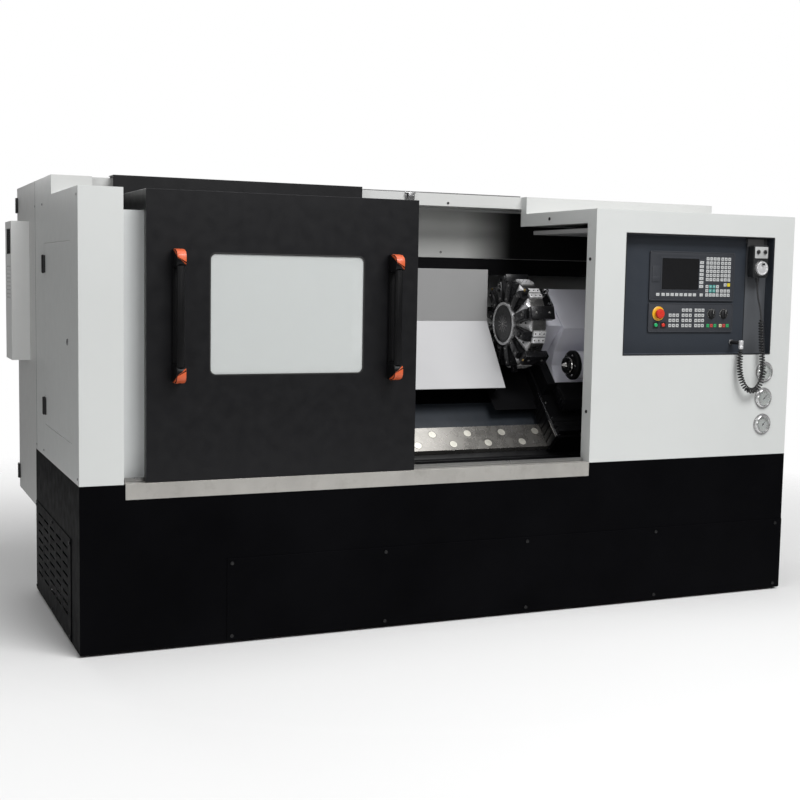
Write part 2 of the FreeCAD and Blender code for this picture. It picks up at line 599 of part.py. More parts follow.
keep("operator_panel", cut("operator", operator_solid, stop_hole, start_hole, halt_hole, *knob_holes))


def mushroom(radius, stem, proud, deep, y):
    """A push button: a domed head in front of its stem, along +Y into the panel."""
    head = Part.makeCylinder(radius, proud, Vector(0, y, 0), Vector(0, 1, 0))
    head = head.makeFillet(min(radius, proud) * 0.35, [head.Edges[0], head.Edges[2]])
    return head.fuse(Part.makeCylinder(stem, deep, Vector(0, y + proud, 0), Vector(0, 1, 0)))


def at_panel(name, solid, x, z):
    solid.translate(Vector(size(x) if isinstance(x, str) else x, 0, size(z)))
    return shifted(name, solid)


plate_front = size("tray_deep") - size("unit_proud")
keep("emergency_stop", at_panel("stop_button_solid", mushroom(20, 11, 14, 8, plate_front - 22), "stop_x", "stop_z"))
for label, x in (("start_button", "start_x"), ("halt_button", "halt_x")):
    keep(label, at_panel(label + "_solid", mushroom(size("button_radius"), 6, 8, 2, plate_front - 6), x, "button_z"))


def knob(radius, tall, y):
    """A fluted knob with a pointer rib, its spindle into the panel."""
    body = Part.makeCylinder(radius, tall, Vector(0, y - tall, 0), Vector(0, 1, 0))
    rib = Part.makeBox(radius * 0.5, 3, 2 * radius, Vector(-radius * 0.25, y - tall - 3, -radius))
    spindle = Part.makeCylinder(3, 5, Vector(0, y, 0), Vector(0, 1, 0))
    return body.fuse([rib.common(Part.makeCylinder(radius, 10, Vector(0, y - tall - 5, 0), Vector(0, 1, 0))),
                      spindle]).removeSplitter()


for n, label in enumerate(("feed_knob", "speed_knob")):
    keep(label, at_panel(label + "_solid", knob(size("knob_radius"), 12, plate_front - 0.3),
                         size("knob_x") + n * size("knob_step"), "knob_z"))

gauges = []
for n in range(3):
    centre = Vector(size("gauge_x"), 0, size("gauge_top") - n * size("gauge_step"))
    flange = Part.makeCylinder(size("gauge_flange"), 3, centre, Vector(0, -1, 0))
    bezel = Part.makeCylinder(size("gauge_bezel"), size("gauge_out"), centre, Vector(0, -1, 0))
    window = Part.makeCylinder(size("gauge_bezel") - 4, 5, centre - Vector(0, size("gauge_out"), 0), Vector(0, 1, 0))
    gauges.append(flange.fuse(bezel).cut(window).removeSplitter())
keep("gauge_cases", shifted("gauges", Part.makeCompound(gauges)))

# ---- hand pendant on its hook, and its curly cord

hook_plate = block("hook_plate", "pendant_left - 4", "tray_deep - 13", "pendant_low + pendant_tall + 8",
                   "pendant_wide + 8", "13", "18")
hook_lip = block("hook_lip", "pendant_left - 4", "tray_deep - 13", "pendant_low + pendant_tall - 6",
                 "pendant_wide + 8", "3", "26")
keep("pendant_hook", join("hook", hook_plate, hook_lip))

pendant_box = block("pendant_box", "pendant_left", "pendant_front", "pendant_low", "pendant_wide", "pendant_deep",
                    "pendant_tall")
hook_slot = block("hook_slot", "pendant_left - 1", "tray_deep - 13.5", "pendant_low + pendant_tall - 7",
                  "pendant_wide + 2", "4", "8")
wheel_hole = rod("wheel_hole", "y", "pendant_left + pendant_wide / 2", "pendant_front - 1", "wheel_z", "5 + run_fit", "20")
selector_holes = [rod("selector_hole_%d" % n, "y", "pendant_left + 20 + %d * 35" % n, "pendant_front - 1",
                      "pendant_low + pendant_tall - 27", "3 + run_fit", "14") for n in range(2)]
keep("pendant_body", cut("pendant", pendant_box, hook_slot, wheel_hole, *selector_holes))


def handwheel():
    """A knurled disc with a crank pin and a spindle."""
    front = size("pendant_front")
    disc = Part.makeCylinder(size("wheel_radius"), 12, Vector(0, front - 13, 0), Vector(0, 1, 0))
    dish = Part.makeCylinder(size("wheel_radius") - 6, 4, Vector(0, front - 13, 0), Vector(0, 1, 0))
    crank = Part.makeCylinder(4, 14, Vector(0, front - 22, size("wheel_radius") * 0.6), Vector(0, 1, 0))
    spindle = Part.makeCylinder(5, 14, Vector(0, front - 2, 0), Vector(0, 1, 0))
    return disc.cut(dish).fuse([crank, spindle]).removeSplitter()


keep("handwheel", at_panel("handwheel_solid", handwheel(), size("pendant_left") + size("pendant_wide") / 2,
                           "wheel_z"))
for n, label in enumerate(("axis_selector", "step_selector")):
    solid = knob(8.5, 9, size("pendant_front") - 0.3)
    solid.translate(Vector(size("pendant_left") + 20 + 35 * n, 0, size("pendant_low") + size("pendant_tall") - 27))
    keep(label, shifted(label + "_solid", solid))

gland_arm = rod("gland_arm", "y", "gland_x", "gland_y", "gland_low + 26", "gland_radius - 1",
                "tray_deep - gland_y")
gland_stub = rod("gland_stub", "z", "gland_x", "gland_y", "gland_low", "gland_radius", "36")
keep("cord_gland", join("gland", gland_arm, gland_stub))

# The cord hangs from the pendant, runs down, turns up and ends in the gland. X, Y, Z of each point.
LEAD = [(2793, 14, 1332), (2793, 13, 1290), (2792, 2, 1244), (2795, -14, 1196), (2794, -22, 1153)]
COIL = [(2794, -22, 1153), (2796, -24, 1090), (2800, -27, 1020), (2806, -32, 945), (2797, -35, 897),
        (2770, -37, 866), (2733, -37, 862), (2704, -33, 890), (2691, -27, 938), (2690, -23, 988),
        (2695, -22, 1036)]


def route_tube(points, radius, label):
    """A round tube along straight runs joined by arcs as large as the runs allow."""
    points = [Vector(*point) for point in points]
    edges, radii, start = [], [], points[0]
    for before, corner, after in zip(points, points[1:], points[2:]):
        arriving, leaving = (corner - before).normalize(), (after - corner).normalize()
        half = arriving.getAngle(leaving) / 2
        run = min((corner - before).Length, (after - corner).Length)
        back = 0.45 * run
        radii.append(back / math.tan(half))
        first, last = corner - arriving * back, corner + leaving * back
        inward = (leaving - arriving).normalize()
        middle = corner + inward * (radii[-1] / math.cos(half) - radii[-1])
        edges.append(Part.LineSegment(start, first).toShape())
        edges.append(Part.Arc(first, middle, last).toShape())
        start = last
    edges.append(Part.LineSegment(start, points[-1]).toShape())
    path = Part.Wire(edges)
    section = Part.Wire([Part.Circle(points[0], points[1] - points[0], radius).toShape()])
    tube = path.makePipeShell([section], True, False)
    expected = math.pi * radius ** 2 * path.Length
    print("%s: length %.0f mm, radii %s, volume / expected %.4f" % (
        label, path.Length, ["%.0f" % r for r in radii], tube.Volume / expected))
    return tube


keep("pendant_lead", shifted("lead_tube", route_tube(LEAD, size("lead_radius"), "lead")))
keep("pendant_coil", shifted("coil_tube", route_tube(COIL, size("coil_radius"), "coil")))

# ---- electrical cabinet on the back, with its door and cooling unit

rear_box = block("rear_box", "0", "machine_depth", "rear_low", "rear_width", "rear_back - machine_depth",
                 "rear_top - rear_low")
rear_room = block("rear_room", "skin", "machine_depth + skin", "rear_low + skin", "rear_width - 2 * skin",
                  "rear_back - machine_depth", "rear_top - rear_low - 2 * skin")
keep("electrical_cabinet", cut("rear_shell", rear_box, rear_room))
rear_leaf = block("rear_leaf_sheet", "0", "rear_back + 1", "rear_low", "rear_width", "rear_leaf",
                  "rear_top - rear_low")
rear_frame = block("rear_frame", "30", "rear_back - 16", "rear_low + 30", "rear_width - 70", "18",
                   "rear_top - rear_low - 60")
rear_hollow = block("rear_hollow", "50", "rear_back - 17", "rear_low + 50", "rear_width - 110", "18",
                    "rear_top - rear_low - 100")
hinge_up = [block("rear_hinge_%d" % n, "-9", "rear_back - 26", z, "9", "26", "62")
            for n, z in enumerate(("rear_low + 42", "rear_top - 104"))]
keep("rear_door", join("rear_door_solid", rear_leaf, cut("rear_frame_hollow", rear_frame, rear_hollow)))
side_hinge = [block("side_hinge_%d" % n, "-9", "side_back - leaf_gap + 4", z, "9", "24", "66")
              for n, z in enumerate(("side_low + 40", "side_high - 112"))]
hinge_pins = [rod("rear_pin_%d" % n, "z", "-hinge_axis", "rear_back", "%s - 2" % z, "hinge_pin", "66")
              for n, z in enumerate(("rear_low + 42", "rear_top - 104"))]
hinge_pins += [rod("side_pin_%d" % n, "z", "-hinge_axis", "side_back - leaf_gap + 16", "%s - 2" % z, "hinge_pin", "70")
               for n, z in enumerate(("side_low + 40", "side_high - 112"))]
keep("cover_hinges", group("hinges", *[join("hinge_%d" % n, leaf, pin)
                                       for n, (leaf, pin) in enumerate(zip(hinge_up + side_hinge, hinge_pins))]))

cooler_box = block("cooler_box", "-cooler_out", "cooler_front", "cooler_low", "cooler_out", "cooler_deep",
                   "cooler_high - cooler_low")
cooler_room = block("cooler_room", "-cooler_out + skin", "cooler_front + skin", "cooler_low + skin",
                    "cooler_out - 2 * skin", "cooler_deep - 2 * skin", "cooler_high - cooler_low - 2 * skin")
cooler_vents = []
for n in range(9):
    cooler_vents.append(Part.makeBox(8, size("cooler_deep") - 60, 7, Vector(
        -size("cooler_out") - 2, size("cooler_front") + 30, size("cooler_high") - 190 - 16 * n)))
cooler_mouth = Part.makeBox(8, size("cooler_deep") - 50, 105, Vector(
    -size("cooler_out") - 2, size("cooler_front") + 25, size("cooler_high") - 135))
keep("cooling_unit", cut("cooler", cooler_box, cooler_room,
                         shifted("cooler_vents", Part.makeCompound(cooler_vents + [cooler_mouth]))))

# ---- sliding door: front, hood roof, side plates and the rear upstand that hooks over the roof rail

door_low = "base_top + skin + 2"
front_sheet = block("door_front", "door_left", "0", door_low, "door_width", "skin", "front_top - base_top - skin - 2")
door_back = block("door_back", "door_left", "door_deep - skin", door_low, "door_width", "skin",
                  "front_top - base_top - skin - 2")
door_edges = [block("door_edge_%d" % n, x, "0", door_low, "skin", "door_deep", "front_top - base_top - skin - 2")
              for n, x in enumerate(("door_left", "door_left + door_width - skin"))]
door_rims = [block("door_rim_%d" % n, "door_left", "0", z, "door_width", "door_deep", "skin")
             for n, z in enumerate((door_low, "front_top - skin"))]
hood_roof = block("hood_roof", "door_left", "0", "front_top - skin", "door_width", "step_back - upstand_gap", "skin")
hood_sides = [block("hood_side_%d" % n, x, "0", "front_top - hood_drop", "skin", "step_back - upstand_gap",
                    "hood_drop") for n, x in enumerate(("door_left", "door_left + door_width - skin"))]
upstand = block("upstand", "door_left", "step_back - upstand_gap - skin", "front_top - skin", "door_width", "skin",
                "rear_top + hood_rise - front_top + skin")
upstand_lip = block("upstand_lip", "door_left", "step_back - upstand_gap - skin", "rear_top + hood_rise - skin",
                    "door_width", "hood_lip", "skin")
window_frame = block("window_frame", "window_left - window_lap - skin", "skin - 1", "window_low - window_lap - skin",
                     "window_right - window_left + 2 * (window_lap + skin)", "door_deep - 2 * skin + 2",
                     "window_high - window_low + 2 * (window_lap + skin)")
window_room = block("window_room", "window_left - window_lap", "skin", "window_low - window_lap",
                    "window_right - window_left + 2 * window_lap", "door_deep",
                    "window_high - window_low + 2 * window_lap")
window_block = block("window_block", "window_left", "-1", "window_low", "window_right - window_left",
                     "door_deep + 2", "window_high - window_low")
window_cut = doc.addObject("Part::Fillet", "window_cut")
window_cut.Base = window_block
doc.recompute()
radius = size("window_corner")
window_cut.Edges = [(i + 1, radius, radius) for i, edge in enumerate(window_block.Shape.Edges)
                    if abs(edge.tangentAt(edge.FirstParameter).y) > 0.9]
door_solid = join("door_solid", front_sheet, door_back, *door_edges, *door_rims, hood_roof, *hood_sides, upstand,
                  upstand_lip, window_frame)
keep("door_panel", cut("door", door_solid, window_room, window_cut))
keep("door_window", block("window_pane", "window_left - window_lap + 0.5", "skin", "window_low - window_lap + 0.5",
                          "window_right - window_left + 2 * window_lap - 1", "pane",
                          "window_high - window_low + 2 * window_lap - 1"))

grip_places = ["door_left + grip_inset", "door_left + door_width - grip_inset"]
bars, caps = [], []
for n, x in enumerate(grip_places):
    bars.append(join("grip_%d" % n,
                     rod("grip_bar_%d" % n, "z", x, "-grip_out", "grip_low + grip_cap_long", "grip_radius",
                         "grip_high - grip_low - 2 * grip_cap_long"),
                     block("grip_strip_%d" % n, x + " - 12", "-9", "grip_low + grip_cap_long", "24", "9",
                           "grip_high - grip_low - 2 * grip_cap_long")))
    for end, z in (("low", "grip_low"), ("high", "grip_high - grip_cap_long")):
        tag = "%s_%d" % (end, n)
        caps.append(join("cap_" + tag, rod("cap_round_" + tag, "z", x, "-grip_out", z, "grip_cap", "grip_cap_long"),
                         block("cap_arm_" + tag, x + " - grip_cap", "-grip_out", z, "2 * grip_cap", "grip_out",
                               "grip_cap_long")))
keep("door_grips", group("grips", *bars))
keep("door_grip_ends", group("grip_ends", *caps))

# ---- carriage on the ways: saddle, folded way cover, cross slide and turret

saddle_slab = block("saddle_slab", "saddle_left", "saddle_low", "slide_gap", "saddle_right - saddle_left",
                    "saddle_high - saddle_low", "saddle_thick - slide_gap", True)
saddle_keeper = block("saddle_keeper", "saddle_left", "saddle_low", "slide_gap - way_thick",
                      "saddle_right - saddle_left", "lower_way - saddle_low - slide_gap", "way_thick + 1", True)
keep("saddle", tilted(join("saddle_solid", saddle_slab, saddle_keeper)))


keep("way_cover", prism("way_cover_sheet", "YZ_Plane",
                        [("cover_low_back", "cover_low_up"), ("fold_back", "fold_up"), ("fold_back", "cover_top"),
                         ("fold_back + skin", "cover_top"), ("fold_back + skin", "fold_up - 1"),
                         ("cover_low_back + skin * 0.83", "cover_low_up - skin * 0.57")],
                        "bulkhead + 4", "cover_right - bulkhead - 4"))
guard_floor = block("guard_floor", "cover_right - 40", "-60", "guard_out", "saddle_left - cover_right + 40 - slide_gap",
                    "saddle_high + 60", "skin", True)
guard_wall = prism("guard_wall", "YZ_Plane",
                   [slope_point("0", "guard_out"),
                    ("cover_low_back + skin * 0.83 + leaf_gap / 10", "cover_low_up - skin * 0.57"),
                    ("fold_back + skin + leaf_gap / 10", "fold_up - 1"), slope_point("saddle_high - 10", "guard_out")],
                   "cover_right - 40", "skin")
keep("carriage_guard", join("guard", guard_wall, tilted(group("guard_floor_laid", guard_floor))))

slide_slab = block("slide_slab", "saddle_left + 10", "slide_low", "saddle_thick + slide_gap",
                   "saddle_right - saddle_left - 20", "slide_high - slide_low", "slide_top - saddle_thick - slide_gap",
                   True)
keep("cross_slide", tilted(group("slide", slide_slab)))

housing_box = block("housing_box", "turret_back + 2", "turret_up - housing_half", "slide_top",
                    "housing_right - turret_back - 2", "2 * housing_half", "housing_top - slide_top", True)
housing_neck = block("housing_neck", "housing_right - 1", "turret_up - 70", "slide_top",
                     "saddle_right - housing_right - 20", "140", "160", True)
shaft_bore = rod("shaft_bore", "x", "turret_back", "turret_up", "swing_height", "turret_shaft + run_fit",
                 "housing_right - turret_back + 60", True)
keep("turret_housing", tilted(cut("housing", join("housing_solid", housing_box, housing_neck), shaft_bore)))

cover_outline = [("-12", "slide_top + 1"), ("62", "178"), ("92", "232"), ("112", "housing_top + 4"),
                 ("turret_up + housing_half", "housing_top + 4"), ("turret_up + housing_half", "slide_top + 1")]
cover_body = prism("turret_cover_block", "YZ_Plane", cover_outline, "housing_right + 2",
                   "cover_end - housing_right - 2", True)
cover_inside = block("cover_inside", "housing_right", "turret_up - 76", "slide_top - 1",
                     "cover_end - housing_right + 1", "152", "168", True)
keep("turret_cover", tilted(cut("turret_cover_cut", cover_body, cover_inside)))

disc_profile = [("turret_face - hub_out", "0"), ("turret_face - hub_out", "turret_hub"),
                ("turret_face", "turret_hub + 6"), ("turret_face", "turret_root + 14"),
                ("turret_face + 26", "turret_radius"), ("turret_back", "turret_radius"),
                ("turret_back", "turret_shaft"), ("housing_right + 40", "turret_shaft"), ("housing_right + 40", "0")]
disc = turned("turret_disc_turned", disc_profile, "turret_up", "swing_height", True)


def station_blocks(inner, outer, left, right, wide):
    """Twelve equal blocks standing round the turret's axis."""
    solids = []
    count = int(size("stations"))
    for n in range(count):
        solid = Part.makeBox(right - left, wide, outer - inner, Vector(left, -wide / 2, inner))
        solid.rotate(Vector(0, 0, 0), Vector(1, 0, 0), 360 * n / count)
        solid.translate(Vector(0, size("turret_up"), size("swing_height")))
        solids.append(solid)
    return solids


face, back = size("turret_face"), size("turret_back")
slot_wide = size("holder_wide") + 2 * size("holder_fit")
slots = station_blocks(size("turret_root") - size("holder_fit"), size("turret_radius") + 10, face - 12, back - 14,
                       slot_wide)
keep("turret_disc", tilted(cut("turret_slotted", disc, loose("station_slots", Part.makeCompound(slots)))))


def holder(n):
    """A tool block in its slot, with a turning tool on every third and a boring bar on some."""
    left, right = face - 8, back - 14.2
    solid = Part.makeBox(right - left, size("holder_wide"), size("turret_radius") - size("turret_root") - 3,
                         Vector(left, -size("holder_wide") / 2, size("turret_root")))
    tip = size("turret_radius")
    if n % 3 == 1:
        shank = Part.makeBox(20, 20, 46, Vector(left + 14, -10, tip - 20))
        solid = solid.fuse(shank)
    if n % 4 == 2:
        bar = Part.makeCylinder(9, 40, Vector(left - 22, 0, tip - 32), Vector(1, 0, 0))
        solid = solid.fuse(bar)
    solid.rotate(Vector(0, 0, 0), Vector(1, 0, 0), 360 * n / int(size("stations")))
    solid.translate(Vector(0, size("turret_up"), size("swing_height")))
    return solid


holders = Part.makeCompound([holder(n) for n in range(int(size("stations")))])
keep("tool_holders", tilted(group("holders", loose("holder_blocks", holders))))

tail_base = block("tail_base", "tail_left", "saddle_low", "slide_gap", "tail_right - tail_left",
                  "saddle_high - saddle_low - 60", "100 - slide_gap", True)
tail_column = block("tail_column", "tail_left", "-110", "90", "tail_right - tail_left", "220",
                    "swing_height - 90", True)
tail_barrel = rod("tail_barrel", "x", "nose_left", "0", "swing_height", "tail_nose", "tail_right - nose_left", True)
tail_head = rod("tail_head", "x", "tail_left", "0", "swing_height", "110", "tail_right - tail_left", True)
quill_bore = rod("quill_bore", "x", "nose_left - 1", "0", "swing_height", "quill + run_fit",
                 "tail_right - nose_left + 2", True)
keep("tailstock", tilted(cut("tailstock_bored", join("tailstock_solid", tail_base, tail_column, tail_barrel,
                                                     tail_head), quill_bore)))

quill_profile = [("quill_left + quill_long", "0"), ("quill_left + quill_long", "quill"), ("quill_left + 4", "quill"),
                 ("quill_left", "quill - 4"), ("quill_left", "14"), ("quill_left - 10", "14"),
                 ("quill_left - 32", "0")]
keep("quill", tilted(group("quill_laid", turned("quill_turned", quill_profile, "0", "swing_height", True))))

# ---- write every piece

doc.recompute()
for thing in doc.Objects:
    if "Invalid" in thing.State or "Error" in thing.State:
        raise RuntimeError("%s failed: %s" % (thing.Name, thing.State))
for label, thing in pieces.items():
    if thing.Shape.isNull() or not thing.Shape.isValid():
        raise RuntimeError("%s has no valid shape" % label)
os.makedirs("parts", exist_ok=True)
for label, thing in pieces.items():
    thing.Shape.exportStep("parts/%s.step" % label)
    box = thing.Shape.BoundBox
    print("%-20s %2d solids  %8.1f cm3  x %7.1f %7.1f  y %7.1f %7.1f  z %7.1f %7.1f" % (
        label, len(thing.Shape.Solids), thing.Shape.Volume / 1000,
        box.XMin, box.XMax, box.YMin, box.YMax, box.ZMin, box.ZMax))
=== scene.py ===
import math

import bmesh
import bpy
from mathutils import Matrix, Vector


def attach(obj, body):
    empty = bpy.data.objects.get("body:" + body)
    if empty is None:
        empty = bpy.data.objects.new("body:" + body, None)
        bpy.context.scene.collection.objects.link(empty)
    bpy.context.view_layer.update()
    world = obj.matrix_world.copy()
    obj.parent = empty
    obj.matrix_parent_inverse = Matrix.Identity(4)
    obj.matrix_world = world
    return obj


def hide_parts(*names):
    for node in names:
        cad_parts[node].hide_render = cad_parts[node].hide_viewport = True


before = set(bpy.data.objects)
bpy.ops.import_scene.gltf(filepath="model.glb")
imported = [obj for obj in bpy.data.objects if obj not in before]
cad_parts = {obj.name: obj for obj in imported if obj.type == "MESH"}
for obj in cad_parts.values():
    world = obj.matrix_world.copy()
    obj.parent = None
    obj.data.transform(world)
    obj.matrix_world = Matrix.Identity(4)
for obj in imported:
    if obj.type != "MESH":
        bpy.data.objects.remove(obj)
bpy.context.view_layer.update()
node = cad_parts

# ---- Camera
# A standing person's view from the front left, on a long lens.

eye = Vector((-2.17433, -5.03538, 1.30510))
yaw, pitch, roll = -0.414359, -0.095193, -0.018311
turn = (Matrix.Rotation(yaw, 3, "Z") @ Matrix.Rotation(pitch, 3, "X") @ Matrix.Rotation(roll, 3, "Y")
        @ Matrix.Rotation(math.radians(90), 3, "X"))
camera = bpy.data.objects.new("camera", bpy.data.cameras.new("camera"))
camera.data.lens = 57.63
camera.data.sensor_width = 36
camera.data.clip_end = 60
camera.matrix_world = Matrix.Translation(eye) @ turn.to_4x4()
bpy.context.scene.collection.objects.link(camera)
bpy.context.scene.camera = camera

# ---- Pendant cord
# A black rubber cord between the hand pendant and the gland under the control panel. Its upper
# stretch is plain and the rest is wound into a spring, which hangs in a loop under its weight.


def spot(x, y, z):
    """A point given in millimetres from the front left corner of the enclosure at the floor."""
    return Vector((x - 1446.5, y - 726.5, z)) / 1000


cord_lead = [(2793, 14, 1332), (2793, 13, 1290), (2792, 2, 1244), (2795, -14, 1196), (2794, -22, 1153)]
cord_loop = [(2796, -24, 1090), (2800, -27, 1020), (2806, -32, 945), (2797, -35, 897), (2770, -37, 866),
             (2733, -37, 862), (2704, -33, 890), (2691, -27, 938), (2690, -23, 988), (2695, -22, 1036)]
cord_radius = 0.0031
turn_radius = 0.0096
lead_length = 0.174
turn_count = 46
points_per_turn = 14
easing_turns = 1.2


def nurbs_line(name, points):
    """A smooth line with the given points as its control points."""
    line = bpy.data.curves.new(name, "CURVE")
    line.dimensions = "3D"
    line.resolution_u = 12
    spline = line.splines.new("NURBS")
    spline.points.add(len(points) - 1)
    for control, point in zip(spline.points, points):
        control.co = (*point, 1)
    spline.order_u = 3
    spline.use_endpoint_u = True
    made = bpy.data.objects.new(name, line)
    bpy.context.scene.collection.objects.link(made)
    return made


def line_points(made):
    """The points that the finished line runs through."""
    bpy.context.view_layer.update()
    mesh = bpy.data.meshes.new_from_object(made)
    found = [vertex.co.copy() for vertex in mesh.vertices]
    bpy.data.meshes.remove(mesh)
    return found


def along(points, distance):
    """The point and direction a distance along a line of points."""
    for a, b in zip(points, points[1:]):
        step = (b - a).length
        if distance <= step or b is points[-1]:
            return a.lerp(b, min(distance / max(step, 1e-9), 1)), (b - a).normalized()
        distance -= step


route = nurbs_line("cord_route", [spot(*p) for p in cord_lead + cord_loop])
route_points = line_points(route)
route_length = sum((b - a).length for a, b in zip(route_points, route_points[1:]))
bpy.data.objects.remove(route)
controls = [spot(*p) for p in cord_lead[:-1]]
side = Vector((1, 0, 0))
steps = turn_count * points_per_turn
for n in range(steps + 1):
    share = n / steps
    centre, ahead = along(route_points, lead_length + share * (route_length - lead_length))
    side = (side - ahead * side.dot(ahead)).normalized()
    swell = min(1, share * turn_count / easing_turns, (1 - share) * turn_count / easing_turns)
    angle = 2 * math.pi * n / points_per_turn
    outward = side * math.cos(angle) + ahead.cross(side) * math.sin(angle)
    controls.append(centre + outward * turn_radius * swell)
pendant_cord = nurbs_line("pendant_cord", controls)
pendant_cord.data.resolution_u = 2
cord_path = line_points(pendant_cord)
pendant_cord.data.bevel_depth = cord_radius
pendant_cord.data.bevel_resolution = 3
pendant_cord.data.use_fill_caps = True


def material(name, colour, roughness, metal=0.0, coat=0.0, transmission=0.0, shine=0.5):
    """A new material and its shader, with the values that are the same all over the surface."""
    made = bpy.data.materials.new(name)
    made.use_nodes = True
    shader = made.node_tree.nodes["Principled BSDF"]
    shader.inputs["Base Color"].default_value = (*colour, 1)
    shader.inputs["Roughness"].default_value = roughness
    shader.inputs["Metallic"].default_value = metal
    shader.inputs["Coat Weight"].default_value = coat
    shader.inputs["Coat Roughness"].default_value = 0.12
    shader.inputs["Transmission Weight"].default_value = transmission
    shader.inputs["Specular IOR Level"].default_value = shine
    return made


def wire(made, *links):
    """Join node sockets: each link is (from node, its output, to node, its input)."""
    for source, output, target, into in links:
        made.node_tree.links.new(source.outputs[output], target.inputs[into])


def add(made, kind, **values):
    """A new node in a material. A value named for a socket sets it, and another sets the node."""
    added = made.node_tree.nodes.new("ShaderNode" + kind)
    for name, value in values.items():
        if hasattr(added, name):
            setattr(added, name, value)
        else:
            added.inputs[name.replace("_", " ")].default_value = value
    return added


def surface(name, colour, roughness, tone=0.05, cloud=2.5, grain=0.0, grain_size=0.001, stretch=(1, 1, 1),
            edge=0.0, edge_highlight=1.6, soil=0.0, **fixed):
    """A finish whose tone, gloss and fine relief all vary over the surface.

    tone is how far the colour wanders and cloud how finely. grain is the depth of the fine
    relief, and stretch draws it out along an axis. edge is the radius over which corners are
    rounded and lightened as a painted highlight, and the edge factor how far their colour is lifted.
    soil is how much grime lies in patches.
    """
    made = material(name, colour, roughness, **fixed)
    shader = made.node_tree.nodes["Principled BSDF"]
    place = add(made, "TexCoord")
    clouds = add(made, "TexNoise", Scale=cloud, Detail=6.0, Roughness=0.6)
    level = add(made, "MapRange", From_Min=0.3, From_Max=0.7, To_Min=1 - tone, To_Max=1 + tone)
    tint = add(made, "VectorMath", operation="SCALE")
    tint.inputs[0].default_value = colour
    wire(made, (place, "Object", clouds, "Vector"), (clouds, "Fac", level, "Value"),
         (level, "Result", tint, "Scale"))
    last, last_out = tint, "Vector"
    if soil:
        patches = add(made, "TexNoise", Scale=11.0, Detail=9.0, Roughness=0.68)
        amount = add(made, "MapRange", From_Min=0.52, From_Max=0.78, To_Min=0.0, To_Max=soil)
        dirty = add(made, "Mix", data_type="RGBA", blend_type="MULTIPLY")
        dirty.inputs[7].default_value = (0.35, 0.32, 0.28, 1)
        wire(made, (place, "Object", patches, "Vector"), (patches, "Fac", amount, "Value"),
             (amount, "Result", dirty, 0), (last, last_out, dirty, 6))
        last, last_out = dirty, 2
    fine = add(made, "Mapping")
    fine.inputs["Scale"].default_value = stretch
    relief = add(made, "TexNoise", Scale=1 / grain_size, Detail=3.0)
    wire(made, (place, "Object", fine, "Vector"), (fine, "Vector", relief, "Vector"))
    worn = add(made, "TexNoise", Scale=22.0, Detail=5.0)
    gloss = add(made, "MapRange", From_Min=0.25, From_Max=0.75, To_Min=max(roughness - 0.06, 0.02),
                To_Max=roughness + 0.07)
    wire(made, (place, "Object", worn, "Vector"), (worn, "Fac", gloss, "Value"),
         (gloss, "Result", shader, "Roughness"))
    bump = add(made, "Bump", Strength=1.0, Distance=grain)
    wire(made, (relief, "Fac", bump, "Height"), (bump, "Normal", shader, "Normal"))
    # Rounded corners get a painted highlight: their colour is mixed towards a lighter copy.
    if edge:
        rounded = add(made, "Bevel", Radius=edge, samples=4)
        flat = add(made, "NewGeometry")
        meet = add(made, "VectorMath", operation="DOT_PRODUCT")
        rim = add(made, "MapRange", From_Min=0.999, From_Max=0.88, To_Min=0.0, To_Max=1.0)
        bright = add(made, "Mix", data_type="RGBA")
        lift = add(made, "VectorMath", operation="SCALE", Scale=edge_highlight)
        wire(made, (rounded, "Normal", bump, "Normal"), (rounded, "Normal", meet, 0),
             (flat, "Normal", meet, 1), (meet, "Value", rim, "Value"), (last, last_out, lift, 0),
             (rim, "Result", bright, 0), (last, last_out, bright, 6), (lift, "Vector", bright, 7))
        last, last_out = bright, 2
    wire(made, (last, last_out, shader, "Base Color"))
    return made


def fade_by(made, axis, at_other, at_own, other):
    """Change a surface to another colour along an axis, between two places in metres."""
    shader = made.node_tree.nodes["Principled BSDF"]
    paint = shader.inputs["Base Color"].links[0].from_socket
    place = add(made, "TexCoord")
    parts = add(made, "SeparateXYZ")
    share = add(made, "MapRange", From_Min=at_other, From_Max=at_own)
    both = add(made, "Mix", data_type="RGBA")
    both.inputs[6].default_value = (*other, 1)
    made.node_tree.links.new(paint, both.inputs[7])
    wire(made, (place, "Object", parts, "Vector"), (parts, axis, share, "Value"), (share, "Result", both, 0),
         (both, 2, shader, "Base Color"))


def dress(finish, *names):
    """Give carried-over pieces their finish."""
    for name in names:
        slots = node[name].data.materials
        slots.clear()
        slots.append(finish)


cord_rubber = surface("cord_rubber", (0.014, 0.014, 0.015), 0.22, tone=0.2, grain=0.00003, grain_size=0.0008)
pendant_cord.data.materials.append(cord_rubber)
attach(pendant_cord, "machine")
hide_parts("pendant_lead", "pendant_coil")

# ---- Base
# Bent sheet steel painted satin black round the bed, with a long cover screwed to its front, a
# slotted cover on its end and a bright sill along the door opening.

base_black = surface("base_black", (0.0030, 0.0030, 0.0036), 0.42, tone=0.25, grain=0.00003,
                     grain_size=0.0022, edge=0.0016, edge_highlight=3.0, shine=0.01)
sill_steel = surface("sill_steel", (0.52, 0.505, 0.475), 0.34, tone=0.10, cloud=5.0, grain=0.00002,
                     grain_size=0.0009, stretch=(0.04, 1, 1), metal=0.55, soil=0.35, edge=0.001,
                     edge_highlight=1.25)
dress(base_black, "base_casing", "service_cover", "end_vent_cover")
dress(sill_steel, "sill_strip")


